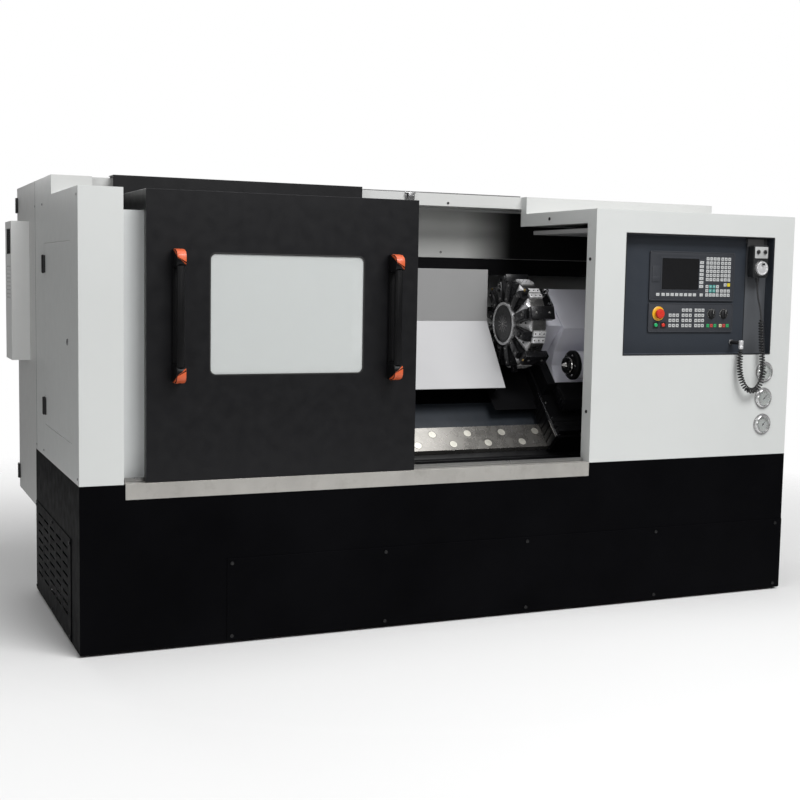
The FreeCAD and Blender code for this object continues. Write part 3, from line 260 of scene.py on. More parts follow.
def stud_tree(name, body_finish, top_finish):
    """A tree that sets one small stud on every point: a drum with a bevelled rim and a sunk or
    printed middle. The stud's sizes are the tree's inputs."""
    tree = bpy.data.node_groups.new(name, "GeometryNodeTree")
    tree.interface.new_socket("Places", in_out="INPUT", socket_type="NodeSocketGeometry")
    for label, kind, value in (("Sides", "Int", 24), ("Width", "Float", 0.01), ("Height", "Float", 0.01),
                               ("Proud", "Float", 0.003), ("Inset", "Float", 0.55),
                               ("Inset depth", "Float", 0.0015), ("Inset squash", "Float", 1.0),
                               ("Spin", "Float", 0.0), ("Facing", "Vector", (0, -1, 0))):
        made = tree.interface.new_socket(label, in_out="INPUT", socket_type="NodeSocket" + kind)
        made.default_value = value
    tree.interface.new_socket("Studs", in_out="OUTPUT", socket_type="NodeSocketGeometry")

    def put(kind, inputs, **settings):
        """A new node of the tree. Each input takes a value or another node's output."""
        made = tree.nodes.new(kind)
        for label, value in settings.items():
            setattr(made, label, value)
        for label, value in inputs.items():
            if isinstance(value, bpy.types.NodeSocket):
                tree.links.new(value, made.inputs[label])
            else:
                made.inputs[label].default_value = value
        return made.outputs

    def times(socket, factor):
        """A socket's value times a fixed factor."""
        return put("ShaderNodeMath", {0: socket, 1: factor}, operation="MULTIPLY")[0]

    size = put("NodeGroupInput", {})
    drum = put("GeometryNodeMeshCylinder", {"Vertices": size["Sides"], "Radius": 1, "Depth": size["Proud"]})
    spin = put("ShaderNodeCombineXYZ", {"Z": size["Spin"]})
    turned = put("GeometryNodeTransform", {"Geometry": drum["Mesh"], "Rotation": spin[0]})
    width, height = times(size["Width"], 0.5), times(size["Height"], 0.5)
    stretched = put("ShaderNodeCombineXYZ", {"X": width, "Y": height, "Z": 1})
    lift = put("ShaderNodeCombineXYZ", {"Z": times(size["Proud"], 0.5)})
    shape = put("GeometryNodeTransform", {"Geometry": turned[0], "Scale": stretched[0],
                                          "Translation": lift[0]})
    rim = put("GeometryNodeExtrudeMesh", {"Mesh": shape[0], "Selection": drum["Top"], "Offset Scale": 0.0})
    chamfer = put("GeometryNodeScaleElements", {"Geometry": rim["Mesh"], "Selection": rim["Top"],
                                                "Scale": 0.86})
    step = put("ShaderNodeCombineXYZ", {"Z": times(size["Proud"], 0.16)})
    raised = put("GeometryNodeSetPosition", {"Geometry": chamfer[0], "Selection": rim["Top"],
                                             "Offset": step[0]})
    inner = put("GeometryNodeExtrudeMesh", {"Mesh": raised[0], "Selection": rim["Top"], "Offset Scale": 0.0})
    shrunk = put("GeometryNodeScaleElements", {"Geometry": inner["Mesh"], "Selection": inner["Top"],
                                               "Scale": size["Inset"]})
    squashed = put("GeometryNodeScaleElements", {"Geometry": shrunk[0], "Selection": inner["Top"],
                                                 "Scale": size["Inset squash"], "Axis": (0, 1, 0)},
                   scale_mode="SINGLE_AXIS")
    sunk = put("GeometryNodeExtrudeMesh", {"Mesh": squashed[0], "Selection": inner["Top"],
                                           "Offset Scale": times(size["Inset depth"], -1)})
    paint = put("GeometryNodeSetMaterial", {"Geometry": sunk["Mesh"], "Material": body_finish})
    paint_top = put("GeometryNodeSetMaterial", {"Geometry": paint[0], "Selection": sunk["Top"],
                                                "Material": top_finish})
    aim = put("FunctionNodeAlignRotationToVector", {"Vector": size["Facing"]}, axis="Z")
    placed = put("GeometryNodeInstanceOnPoints", {"Points": size["Places"], "Instance": paint_top[0],
                                                  "Rotation": aim[0]})
    put("NodeGroupOutput", {"Studs": put("GeometryNodeRealizeInstances", {"Geometry": placed[0]})[0]})
    return tree


def studs(name, tree, places, body, slot, sharp=40, **inputs):
    """One plain mesh with the tree's shape at each place. Sizes are in millimetres."""
    mesh = bpy.data.meshes.new(name)
    mesh.from_pydata([spot(*p) for p in places], [], [])
    carrier = bpy.data.objects.new(name + "_places", mesh)
    bpy.context.scene.collection.objects.link(carrier)
    modifier = carrier.modifiers.new("studs", "NODES")
    modifier.node_group = tree
    known = {item.name: item.identifier for item in tree.interface.items_tree if item.in_out == "INPUT"}
    for label, value in inputs.items():
        label = label.replace("_", " ")
        if label in ("Width", "Height", "Proud", "Inset depth"):
            value = value / 1000
        modifier[known[label]] = value
    bpy.context.view_layer.update()
    seen = carrier.evaluated_get(bpy.context.evaluated_depsgraph_get())
    result = bpy.data.meshes.new_from_object(seen)
    bpy.data.objects.remove(carrier)
    return finished(name, result, body, sharp)


def screws(name, tree, places, body, slot, across, proud, facing=(0, -1, 0)):
    """Round screw heads of one size."""
    return studs(name, tree, places, body, slot, Width=across, Height=across, Proud=proud, Facing=facing)


def finished(name, mesh, body, sharp=35):
    """Link a finished mesh as a piece that moves with a body."""
    mesh.name = name
    mesh.polygons.foreach_set("use_smooth", [True] * len(mesh.polygons))
    mesh.set_sharp_from_angle(angle=math.radians(sharp))
    made = bpy.data.objects.new(name, mesh)
    bpy.context.scene.collection.objects.link(made)
    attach(made, body)
    return made


screw_black = surface("screw_black", (0.02, 0.02, 0.021), 0.34, tone=0.15, metal=0.6, grain=0.00002)
screw_steel = surface("screw_steel", (0.42, 0.42, 0.43), 0.28, tone=0.15, metal=1.0, grain=0.00002)
socket_dark = surface("socket_dark", (0.006, 0.006, 0.006), 0.5, tone=0.2)
black_screws = stud_tree("black_screws", screw_black, socket_dark)
steel_screws = stud_tree("steel_screws", screw_steel, socket_dark)

service_places = [(x, -3, z) for x in (530, 1120, 1720, 2320, 2930) for z in (28, 290)]
screws("service_cover_screws", black_screws, service_places, "machine", "black_casing", 13, 3)
vent_places = [(-3, y, z) for y in (180, 582, 985) for z in (28, 362)]
screws("vent_cover_screws", black_screws, vent_places, "machine", "black_casing", 12, 3, (-1, 0, 0))

# ---- Bed and ways
# A ribbed iron casting in dark blue-grey paint. Two hardened ways are bolted to its slope, and a
# turned plug closes each bolt hole flush.

bed_iron = surface("bed_iron", (0.030, 0.036, 0.045), 0.40, tone=0.22, cloud=4.0, grain=0.00022,
                   grain_size=0.004, edge=0.003, soil=0.5)
way_steel = surface("way_steel", (0.42, 0.405, 0.38), 0.27, tone=0.16, cloud=3.0, grain=0.00003,
                    grain_size=0.0014, stretch=(0.03, 1, 1), metal=0.9, soil=0.15, edge=0.001)
plug_steel = surface("plug_steel", (0.80, 0.78, 0.70), 0.34, tone=0.12, cloud=30.0, grain=0.00002,
                     grain_size=0.0011, metal=0.7, soil=0.3)
foot_steel = surface("foot_steel", (0.20, 0.20, 0.21), 0.45, tone=0.2, grain=0.0001, metal=0.8, edge=0.001)
dress(bed_iron, "bed", "headstock")
dress(way_steel, "guideways")
dress(plug_steel, "way_plugs")
dress(foot_steel, "levelling_feet")


def on_slope(x, up, out):
    """A point in the slope's own millimetres: along the bed, up the slope and out from the ways."""
    half = math.sqrt(0.5)
    return (x, 506.777 + half * (up - out), 775.223 + half * (up + out))


def slab(bm, x0, x1, y0, y1, z0, z1, finish=0, on=None):
    """A block between two corners, in millimetres. on maps its corners to another frame."""
    corners = [(x, y, z) for x in (x0, x1) for y in (y0, y1) for z in (z0, z1)]
    made = [bm.verts.new(spot(*(on(*c) if on else c))) for c in corners]
    for face in ((0, 1, 3, 2), (4, 6, 7, 5), (0, 4, 5, 1), (2, 3, 7, 6), (0, 2, 6, 4), (1, 5, 7, 3)):
        bm.faces.new([made[i] for i in face]).material_index = finish


def turn_solid(bm, centre, axis, profile, sides=40, finish=0):
    """A turned solid. Its profile gives distance along the axis and radius, in millimetres."""
    axis = Vector(axis).normalized()
    across = axis.orthogonal().normalized()
    third = axis.cross(across)
    rings = []
    for distance, radius in profile:
        middle = Vector(centre) + axis * distance
        count = sides if radius > 0 else 1
        ring = []
        for n in range(count):
            angle = 2 * math.pi * n / count
            outward = across * math.cos(angle) + third * math.sin(angle)
            ring.append(bm.verts.new(spot(*(middle + outward * radius))))
        rings.append(ring)
    for a, b in zip(rings, rings[1:]):
        for n in range(sides):
            m = (n + 1) % sides
            corners = [a[n % len(a)], a[m % len(a)], b[m % len(b)], b[n % len(b)]]
            corners = [c for i, c in enumerate(corners) if c not in corners[:i]]
            if len(corners) > 2:
                bm.faces.new(corners).material_index = finish
    for ring in (rings[0], rings[-1]):
        if len(ring) > 1:
            bm.faces.new(ring).material_index = finish


def panel(bm, outline, base, proud, to_place, finish=0):
    """A plate with any outline, given in the plate's plane and pushed out by proud."""
    low = [bm.verts.new(spot(*to_place(u, v, base))) for u, v in outline]
    high = [bm.verts.new(spot(*to_place(u, v, proud))) for u, v in outline]
    bm.faces.new(low).material_index = finish
    bm.faces.new(high).material_index = finish
    for n in range(len(outline)):
        m = (n + 1) % len(outline)
        bm.faces.new([low[n], low[m], high[m], high[n]]).material_index = finish


def piece(name, bm, body, finishes, bevel=0.0, sharp=35):
    """Finish a hand-built mesh as a piece: faces outward, corners eased, finishes in order."""
    bmesh.ops.recalc_face_normals(bm, faces=bm.faces)
    if bevel:
        corners = [edge for edge in bm.edges if len(edge.link_faces) == 2 and edge.calc_face_angle(0) > 0.6]
        bmesh.ops.bevel(bm, geom=corners, offset=bevel / 1000, segments=2, profile=0.5, affect="EDGES",
                        clamp_overlap=True)
    mesh = bpy.data.meshes.new(name)
    bm.to_mesh(mesh)
    bm.free()
    for finish in finishes:
        mesh.materials.append(finish)
    return finished(name, mesh, body, sharp)


# A black strip on the slope, between the ways and the way cover's lower edge, is painted shadow under that
# edge.
bm = bmesh.new()
slab(bm, 1010, 2880, 30, 128, -24.9, -22, 0, on_slope)
piece("bed_shadow_strip", bm, "machine", [base_black])

# Below the lower way the casting's colour is painted black, as painted shade in the chip trough.
fade_by(bed_iron, "Z", 0.594, 0.596, (0.004, 0.004, 0.005))

ring_shadow = surface("ring_shadow", (0.05, 0.045, 0.04), 0.6, tone=0.2)
plug_places = []
for up, first in ((-203.75, 1090), (-151.1, 1170)):
    plug_places += [on_slope(x, up, 0.05) for x in range(first, 2820, 160)]
studs("plug_joints", stud_tree("plug_joint", ring_shadow, plug_steel), plug_places, "machine", "plug_steel",
      Sides=32, Width=36.5, Height=36.5, Proud=0.16, Inset=1.06, Inset_depth=-0.1, Facing=(0, -1, 1))

# ---- Spindle, chuck and drive
# A bored steel spindle with its belt pulley, driven from the motor below. The chuck's face is
# ground and its jaws stand in three slots.

chuck_steel = surface("chuck_steel", (0.36, 0.36, 0.37), 0.26, tone=0.12, cloud=9.0, grain=0.00002,
                      grain_size=0.0012, metal=1.0, soil=0.3, edge=0.0012)
turned_steel = surface("turned_steel", (0.45, 0.44, 0.43), 0.24, tone=0.10, cloud=8.0, grain=0.00002,
                       grain_size=0.0009, metal=1.0, soil=0.25, edge=0.0008)
motor_paint = surface("motor_paint", (0.035, 0.042, 0.05), 0.42, tone=0.2, grain=0.00014, grain_size=0.003,
                      edge=0.002)
belt_rubber = surface("belt_rubber", (0.012, 0.012, 0.012), 0.7, tone=0.2, grain=0.0004, grain_size=0.004,
                      stretch=(1, 0.1, 0.1))
dress(chuck_steel, "chuck_body", "chuck_jaw_1", "chuck_jaw_2", "chuck_jaw_3")
dress(turned_steel, "spindle", "motor_pulley", "quill")
dress(motor_paint, "spindle_motor")
dress(belt_rubber, "spindle_belt")

bm = bmesh.new()
for n in range(3):
    angle = 2 * math.pi * (n + 0.5) / 3
    for reach in (62, 98):
        centre = (1095, 330 + reach * math.sin(angle), 952 + reach * math.cos(angle))
        turn_solid(bm, centre, (1, 0, 0), [(0, 0), (0, 9), (1.2, 9), (1.8, 8.2), (1.8, 5.4), (-1, 5.4),
                                           (-1, 0)], 24)
turn_solid(bm, (1095, 330, 952), (1, 0, 0), [(0, 30), (0, 44), (1.2, 44), (1.6, 43), (1.6, 31), (0, 30)], 64)
piece("chuck_details", bm, "spindle", [screw_black])

# ---- Head end
# Light grey sheet covers round the headstock: a front corner, the left side with its locked
# service door on two black hinges, and the white fixed panel behind the sliding door's place.

cover_grey = surface("cover_grey", (0.64, 0.655, 0.645), 0.36, tone=0.02, cloud=1.6, grain=0.00004,
                     grain_size=0.0018, edge=0.0018, edge_highlight=1.12)
cabinet_grey = surface("cabinet_grey", (0.60, 0.605, 0.595), 0.38, tone=0.025, cloud=1.6, grain=0.00004,
                       grain_size=0.0018, edge=0.0018, edge_highlight=1.12)
hinge_black = surface("hinge_black", (0.012, 0.012, 0.013), 0.42, tone=0.2, grain=0.0001, grain_size=0.0012,
                      edge=0.0008, edge_highlight=3)
inner_white = surface("inner_white", (0.80, 0.82, 0.82), 0.42, tone=0.03, cloud=2.0, grain=0.00004,
                      grain_size=0.002, edge=0.0012, edge_highlight=1.05)
dress(cover_grey, "head_cover", "side_door", "control_cabinet")
cooler_grey = surface("cooler_grey", (0.84, 0.845, 0.835), 0.40, tone=0.03, cloud=3.0, grain=0.00004,
                      grain_size=0.0018, edge=0.0015, edge_highlight=1.05)
dress(cabinet_grey, "electrical_cabinet", "rear_door")
dress(cooler_grey, "cooling_unit")
dress(inner_white, "fixed_front_panel")
dress(hinge_black, "cover_hinges")

bm = bmesh.new()
turn_solid(bm, (0, 213.6, 1062.5), (-1, 0, 0), [(0, 0), (0, 13), (1.5, 13), (3, 11.5), (3, 8), (2, 8),
                                                (2, 0)], 32)
slab(bm, -3.2, -1.5, 208, 219, 1061.4, 1063.6, 1)
piece("side_door_lock", bm, "side_door", [screw_steel, socket_dark])
bm = bmesh.new()
for z in (755, 1300):
    slab(bm, -5, 0.2, 722, 740, z, z + 66)
piece("side_door_leaves", bm, "side_door", [hinge_black], bevel=0.8)
screws("side_cover_screws", steel_screws, [(0, y, z) for y in (24, 790, 985) for z in (610, 1560)], "machine",
      "grey_cover", 9, 2, (-1, 0, 0))

# The side cover's sheets meet in a fine open joint near the back.
bm = bmesh.new()
slab(bm, -0.5, 0.5, 984.2, 986.2, 590, 1659)
piece("side_cover_joint", bm, "machine", [socket_dark])

# ---- Rear covers
# Grey sheets over the back and roof, with a beam across the work area. The liner inside is
# grey at the head end and lies in the dark further along, where its colour is painted darker as
# shade. A black tube stiffens it and fills a band that lies in shade, so its black is partly painted shade.

dress(cabinet_grey, "rear_cover")
guard_black = surface("guard_black", (0.007, 0.007, 0.0078), 0.36, tone=0.25, cloud=5.0, grain=0.00005,
                      grain_size=0.0025, edge=0.0014, edge_highlight=3.0, soil=0.3, shine=0.08)
rail_steel = surface("rail_steel", (0.42, 0.42, 0.42), 0.3, tone=0.12, grain=0.00003, stretch=(0.04, 1, 1),
                     metal=1.0, soil=0.3)
# The frame tube's black stands in a band of shade behind the sheet's top, and is partly painted shade.
dress(guard_black, "frame_tube")
dress(rail_steel, "door_rails")

bm = bmesh.new()
slab(bm, 1440, 1484, 606, 610, 1630, 1660)
slab(bm, 1440, 1484, 590, 606, 1655, 1658)
slab(bm, 1449, 1475, 588, 592, 1632, 1658)
piece("rail_stop_bracket", bm, "machine", [rail_steel], bevel=0.6)
screws("rail_stop_screws", steel_screws, [(x, 588, 1644) for x in (1455, 1469)], "machine", "rail_steel", 6,
       2)
screws("liner_screws", black_screws, [(1305, 800, 1420), (1640, 610, 1622), (1700, 800, 1420)], "machine",
      "cabinet_grey", 10, 2.5)

# The liner's colour is painted darker towards the tailstock end, as painted shade.
liner_painted_shade = surface("liner_painted_shade", (0.52, 0.525, 0.51), 0.40, tone=0.03, grain=0.00004, grain_size=0.0018)
fade_by(liner_painted_shade, "X", 0.60, 0.36, (0.005, 0.005, 0.005))
bm = bmesh.new()
slab(bm, 1004, 2880, 798.4, 799.9, 1397.5, 1600)
piece("liner_shade_sheet", bm, "machine", [liner_painted_shade])

# ---- Control end
# A grey cabinet with a double front and a folded roof edge. Screws hold its end flange.

screws("end_flange_screws", black_screws, [(1992, 364, 1560), (1992, 38, 1392), (1992, 32, 789)], "machine",
      "grey_cover", 13, 3, (-1, 0, 0))
# The roof's inner hem is the cabinet grey painted darker, as painted shade under the roof edge.
hem_painted_shade = surface("hem_painted_shade", (0.30, 0.30, 0.30), 0.4, tone=0.05, grain=0.00004, grain_size=0.0018,
                   edge=0.0015)
bm = bmesh.new()
slab(bm, 2004, 2900, 66, 518, 1497, 1514)
piece("roof_hem", bm, "machine", [hem_painted_shade], bevel=1.0)

# ---- Control panel
# A sunk tray in dark blue-grey powder coat. It holds a display with rubber-dome keys beside and
# under the screen, and below it the operator's panel.

panel_blue = surface("panel_blue", (0.030, 0.036, 0.046), 0.36, tone=0.06, grain=0.00009, grain_size=0.0014,
                     edge=0.004, edge_highlight=2.4)
panel_plastic = surface("panel_plastic", (0.034, 0.037, 0.044), 0.44, tone=0.05, grain=0.00006,
                        grain_size=0.0009, edge=0.001, edge_highlight=1.9)
key_grey = surface("key_grey", (0.50, 0.51, 0.51), 0.5, tone=0.08, cloud=60.0, grain=0.00003,
                   grain_size=0.0006)
key_print = surface("key_print", (0.03, 0.03, 0.035), 0.55, tone=0.1)
screen_black = surface("screen_black", (0.004, 0.004, 0.005), 0.12, tone=0.3, cloud=6.0, coat=0.6)
end_plate_painted_sheen = surface("end_plate_painted_sheen", (0.085, 0.09, 0.098), 0.34, tone=0.10, cloud=4.0, grain=0.00006)
dress(panel_blue, "control_panel_tray")
dress(screen_black, "display_screen")
plate_y = 40


def facing_front(y):
    """Lays an outline on a face at y: u to the right, v up, out towards the operator."""
    return lambda u, v, out: (u, y - out, v)


on_panel = facing_front(plate_y)
on_front = facing_front(0)


def rounded(u0, u1, v0, v1, radius, steps=6):
    """A rectangle's outline with round corners."""
    outline = []
    for cu, cv, first in ((u1 - radius, v1 - radius, 0), (u0 + radius, v1 - radius, 90),
                          (u0 + radius, v0 + radius, 180), (u1 - radius, v0 + radius, 270)):
        for n in range(steps + 1):
            angle = math.radians(first + 90 * n / steps)
            outline.append((cu + radius * math.cos(angle), cv + radius * math.sin(angle)))
    return outline


def frame_ring(bm, outer, inner, base, proud, to_place, finish=0):
    """A flat ring between two outlines with the same number of corners."""
    loops = [[bm.verts.new(spot(*to_place(u, v, out))) for u, v in outline]
             for outline, out in ((outer, base), (outer, proud), (inner, proud), (inner, base))]
    count = len(outer)
    for a, b in zip(loops, loops[1:] + loops[:1]):
        for n in range(count):
            m = (n + 1) % count
            bm.faces.new([a[n], a[m], b[m], b[n]]).material_index = finish


bm = bmesh.new()
frame_ring(bm, rounded(2275, 2695, 1232, 1432, 6), rounded(2333.2, 2513.8, 1277.2, 1403.8, 3), -6, 0,
           on_panel)
frame_ring(bm, rounded(2275, 2695, 1232, 1432, 6), rounded(2279, 2691, 1236, 1428, 4), 0, 1.2, on_panel)
frame_ring(bm, rounded(2328, 2519, 1272, 1409, 5), rounded(2333.2, 2513.8, 1277.2, 1403.8, 3), 0, 1.4,
           on_panel)
panel(bm, rounded(2286, 2324, 1308, 1372, 4), 0, 2.2, on_panel)
panel(bm, rounded(2290, 2320, 1312, 1330, 2), 2.2, 2.7, on_panel)
display_body = piece("display_body", bm, "machine", [panel_plastic], bevel=0.5)
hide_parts("display_unit")

bm = bmesh.new()
panel(bm, rounded(2275, 2695, 1104, 1223, 6), -6, 0, on_panel)
frame_ring(bm, rounded(2275, 2695, 1104, 1223, 6), rounded(2279, 2691, 1108, 1219, 4), 0, 1.2, on_panel)
operator_body = piece("operator_body", bm, "machine", [panel_plastic], bevel=0.5)
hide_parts("operator_panel")

key_tree = stud_tree("panel_keys", key_grey, key_print)
key_size = dict(Sides=4, Spin=math.radians(45), Proud=1.5, Inset_depth=-0.05, Facing=(0, -1, 0))


def grid(left, top, columns, rows, pitch_x, pitch_z):
    """Centres of keys in rows, from the top left one."""
    return [(left + column * pitch_x, plate_y, top - row * pitch_z) for row in range(rows)
            for column in range(columns)]


letter_keys = [(x, plate_y, z) for x in (2557.4, 2610.5) for z in (1274.6, 1291.8)]
for block in ((2557.4, 1405.6, 4, 6, 17.7, 17), (2631.2, 1405.6, 3, 6, 17.7, 17), (2649, 1300, 1, 1, 0, 0),
              (2631.2, 1274.5, 3, 2, 17.7, 17.2), (2557.4, 1257.4, 4, 1, 17.7, 17)):
    letter_keys += grid(*block)
operator_keys = (grid(2380.5, 1173, 3, 3, 17.9, 21) + grid(2444, 1194, 3, 4, 17.9, 21)
                 + grid(2507.8, 1194, 3, 4, 17.0, 21))
wide_keys = grid(2527.8, 1389.4, 1, 7, 0, 16.3)
soft_keys = grid(2342, 1257, 8, 1, 22, 0) + [(2316, plate_y, 1257), (2530, plate_y, 1257)]
studs("letter_keys", key_tree, letter_keys, "machine", "display_plastic", Width=19.4, Height=18.4, Inset=0.5,
      Inset_squash=0.5, **key_size)
studs("wide_keys", key_tree, wide_keys, "machine", "display_plastic", Width=28, Height=17, Inset=0.42,
      Inset_squash=0.3, **key_size)
studs("soft_keys", key_tree, soft_keys, "machine", "display_plastic", Width=22, Height=17, Inset=0.3,
      Inset_squash=0.35, **key_size)
studs("operator_keys", key_tree, operator_keys, "machine", "operator_plastic", Width=19, Height=18.6,
      Inset=0.5, Inset_squash=0.6, **key_size)
signal_colours = {"green": (0.03, 0.36, 0.12), "red": (0.50, 0.06, 0.05), "yellow": (0.75, 0.60, 0.03),
                  "cream": (0.62, 0.55, 0.34), "teal": (0.10, 0.36, 0.33)}
signal_places = {
    "green": [(2569.5, plate_y, 1131), (2605.5, plate_y, 1131), (2668.5, plate_y, 1131)],
    "red": [(2587.5, plate_y, 1131), (2650.5, plate_y, 1131)],
    "yellow": [(2666.7, plate_y, 1300)], "cream": [(2632.5, plate_y, 1131)],
    "teal": [(2575.1, plate_y, 1291.8), (2592.8, plate_y, 1291.8), (2575.1, plate_y, 1274.6),
             (2592.8, plate_y, 1274.6)]}
for colour, places in signal_places.items():
    cap = surface("key_" + colour, signal_colours[colour], 0.45, tone=0.08, cloud=60.0)
    studs("keys_" + colour, stud_tree("keys_" + colour, cap, key_grey if colour == "teal" else key_print),
          places, "machine", "operator_plastic", Width=18.5, Height=18.5, Inset=0.45, Inset_squash=0.5,
          **key_size)

stop_yellow = surface("stop_yellow", (0.80, 0.42, 0.015), 0.35, tone=0.05, grain=0.00003, coat=0.3)
stop_red = surface("stop_red", (0.62, 0.035, 0.02), 0.28, tone=0.06, coat=0.4)
start_green = surface("start_green", (0.02, 0.42, 0.14), 0.3, tone=0.06, coat=0.4)
knob_black = surface("knob_black", (0.014, 0.014, 0.015), 0.42, tone=0.15, grain=0.00005, grain_size=0.0008,
                     edge=0.0008, edge_highlight=3)
mark_white = surface("mark_white", (0.72, 0.72, 0.70), 0.5, tone=0.05)
stop_at, stop_face = (2322, plate_y, 1179), (0, -1, 0)
bm = bmesh.new()
turn_solid(bm, stop_at, stop_face, [(0.2, 11.5), (0.2, 29), (2.2, 29), (3.4, 27.5), (4.4, 17), (4.4, 11.5),
                                    (0.2, 11.5)], 56)
piece("stop_collar", bm, "machine", [stop_yellow])
bm = bmesh.new()
turn_solid(bm, stop_at, stop_face, [(4.4, 0), (4.4, 10.8), (8.5, 10.8), (8.5, 16), (10, 19.4), (13, 20.2),
                                    (17, 19.8), (20.2, 17.5), (21.4, 12), (21.2, 6), (20.6, 0)], 56)
stop_head = piece("stop_head", bm, "emergency_stop", [stop_red])
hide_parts("emergency_stop")
dress(start_green, "start_button")
dress(stop_red, "halt_button")
bm = bmesh.new()
for x in (2311, 2347):
    frame_ring(bm, rounded(x - 13, x + 13, 1120, 1146, 3), rounded(x - 9.2, x + 9.2, 1123.8, 1142.2, 8), 0.1,
               2.2, on_panel)
piece("button_surrounds", bm, "machine", [knob_black], bevel=0.4)


def ray_plate(bm, centre, degrees, ends, low, high, lay, finish):
    """A thin plate that points from a centre. ends gives its corners as reach and offset."""
    angle = math.radians(degrees)
    ray = Vector((math.sin(angle), math.cos(angle)))
    across = Vector((math.cos(angle), -math.sin(angle)))
    corners = [tuple(Vector(centre) + ray * reach + across * offset) for reach, offset in ends]
    panel(bm, corners, low, high, lay, finish)


def dial(bm, centre, radius, first, last, count, long, wide, low, high, finish=0, lay=on_panel):
    """Scale marks round a knob or in a gauge, as thin raised strips."""
    ends = ((radius, -wide), (radius, wide), (radius + long, wide), (radius + long, -wide))
    for n in range(count):
        ray_plate(bm, centre, first + (last - first) * n / (count - 1), ends, low, high, lay, finish)


def knob(name, body, replaced, x, z, front, radius, tall, lobes):
    """A moulded knob: lobed skirt, pointer bar and a white pointer line."""
    bm = bmesh.new()
    rim = []
    for n in range(lobes * 8):
        angle = 2 * math.pi * n / (lobes * 8)
        reach = radius * (0.965 + 0.035 * math.cos(lobes * angle))
        rim.append((x + reach * math.sin(angle), z + reach * math.cos(angle)))
    lay = facing_front(front)
    panel(bm, rim, 0.3, tall * 0.55, lay)
    panel(bm, rounded(x - radius * 0.82, x + radius * 0.82, z - radius * 0.82, z + radius * 0.82,
                      radius * 0.8), tall * 0.5, tall * 0.72, lay)
    panel(bm, rounded(x - radius * 0.24, x + radius * 0.24, z - radius * 0.86, z + radius * 0.86,
                      radius * 0.2), tall * 0.7, tall * 1.18, lay)
    panel(bm, [(x - 0.5, z + 1), (x + 0.5, z + 1), (x + 0.5, z + radius * 0.8), (x - 0.5, z + radius * 0.8)],
          tall * 1.17, tall * 1.2, lay, 1)
    made = piece(name, bm, body, [knob_black, mark_white], bevel=0.35)
    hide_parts(replaced)
    return made


bm = bmesh.new()
for n, (label, x) in enumerate((("feed", 2586), ("speed", 2648))):
    knob(label + "_knob_moulded", label + "_knob", label + "_knob", x, 1180, plate_y - 0.4, 16, 12, 10)
    panel(bm, rounded(x - 22, x + 22, 1158, 1202, 21.5), 0, 0.3, on_panel, 1)
    dial(bm, (x, 1180), 17.4, -130, 130, 15, 3.2, 0.5, 0.3, 0.45)
piece("knob_scales", bm, "machine", [mark_white, knob_black])

# The tray's front edge has a black seal, and a fine joint shows where its end plate starts.
bm = bmesh.new()
frame_ring(bm, rounded(2131, 2865, 1012, 1499.5, 5), rounded(2135, 2861, 1016, 1495.5, 3), -4, 0.8, on_front)
piece("tray_seal", bm, "machine", [knob_black], bevel=0.3)
bm = bmesh.new()
slab(bm, 2754, 2755.6, 45.2, 46.2, 1018, 1494)
slab(bm, 2756, 2850, 44.6, 46.2, 1487, 1489)
# The end plate's lighter grey is a painted reflection on its face.
slab(bm, 2757, 2863, 44.9, 46.2, 1014, 1497, 1)
piece("tray_joint", bm, "machine", [socket_dark, end_plate_painted_sheen])

# ---- Gauges
# Three round pressure gauges in chromed cases: white dial, printed scale, black needle and glass.

chrome = surface("gauge_chrome", (0.74, 0.74, 0.74), 0.14, tone=0.06, metal=0.85, grain=0.00001)
dial_white = surface("dial_white", (0.88, 0.88, 0.86), 0.5, tone=0.04)
needle_black = surface("needle_black", (0.01, 0.01, 0.01), 0.5, tone=0.1)
gauge_glass = surface("gauge_glass", (0.9, 0.92, 0.92), 0.03, tone=0.01, transmission=1.0)
gauge_x, gauge_heights = 2838, [938 - 110.2 * n for n in range(3)]
for n, (z, needle) in enumerate(zip(gauge_heights, (-60, 45, 40))):
    gauge_at, gauge_face = (gauge_x, 0, z), (0, -1, 0)
    bm = bmesh.new()
    turn_solid(bm, gauge_at, gauge_face, [(0.1, 0), (0.1, 44), (1.2, 45), (2.6, 44.6), (3.2, 38), (9, 36),
                                          (12.4, 36), (14, 34.5), (14, 31.5), (12.6, 30.5), (8, 30.5),
                                          (8, 0)], 64)
    turn_solid(bm, gauge_at, gauge_face, [(8.1, 0), (8.1, 30), (8.6, 30), (8.6, 0)], 48, 1)
    for count, long, wide in ((11, -6.5, 0.55), (51, -3.2, 0.25)):
        dial(bm, (gauge_x, z), 27, -135, 135, count, long, wide, 8.5, 8.75, 2, on_front)
    ray_plate(bm, (gauge_x, z), needle, ((-9, -1.3), (-9, 1.3), (23, 0.3), (23, -0.3)), 9.4, 9.9, on_front, 2)
    turn_solid(bm, gauge_at, gauge_face, [(8.5, 0), (8.5, 3), (10.6, 3), (10.6, 0)], 24, 2)
    turn_solid(bm, gauge_at, gauge_face, [(12.0, 0), (12.0, 30.4), (12.5, 30.4), (12.5, 0)], 48, 3)
    gauge = piece("gauge_%d" % (n + 1), bm, "machine", [chrome, dial_white, needle_black,
                                                                       gauge_glass])
    if n == 0:
        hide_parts("gauge_cases")
screw_turns = [math.radians(degrees) for degrees in (90, 210, 330)]
screws("gauge_screws", steel_screws,
      [(gauge_x + 41 * math.cos(a), -3, z + 41 * math.sin(a)) for z in gauge_heights for a in screw_turns],
      "machine", "gauge_metal", 4, 1.4)

# ---- Hand pendant
# A black moulded box that hangs on a bent steel hook: two selectors on a light plate and a
# bright pulse wheel with its crank. The cord leaves through a boot, and ends in a metal gland.

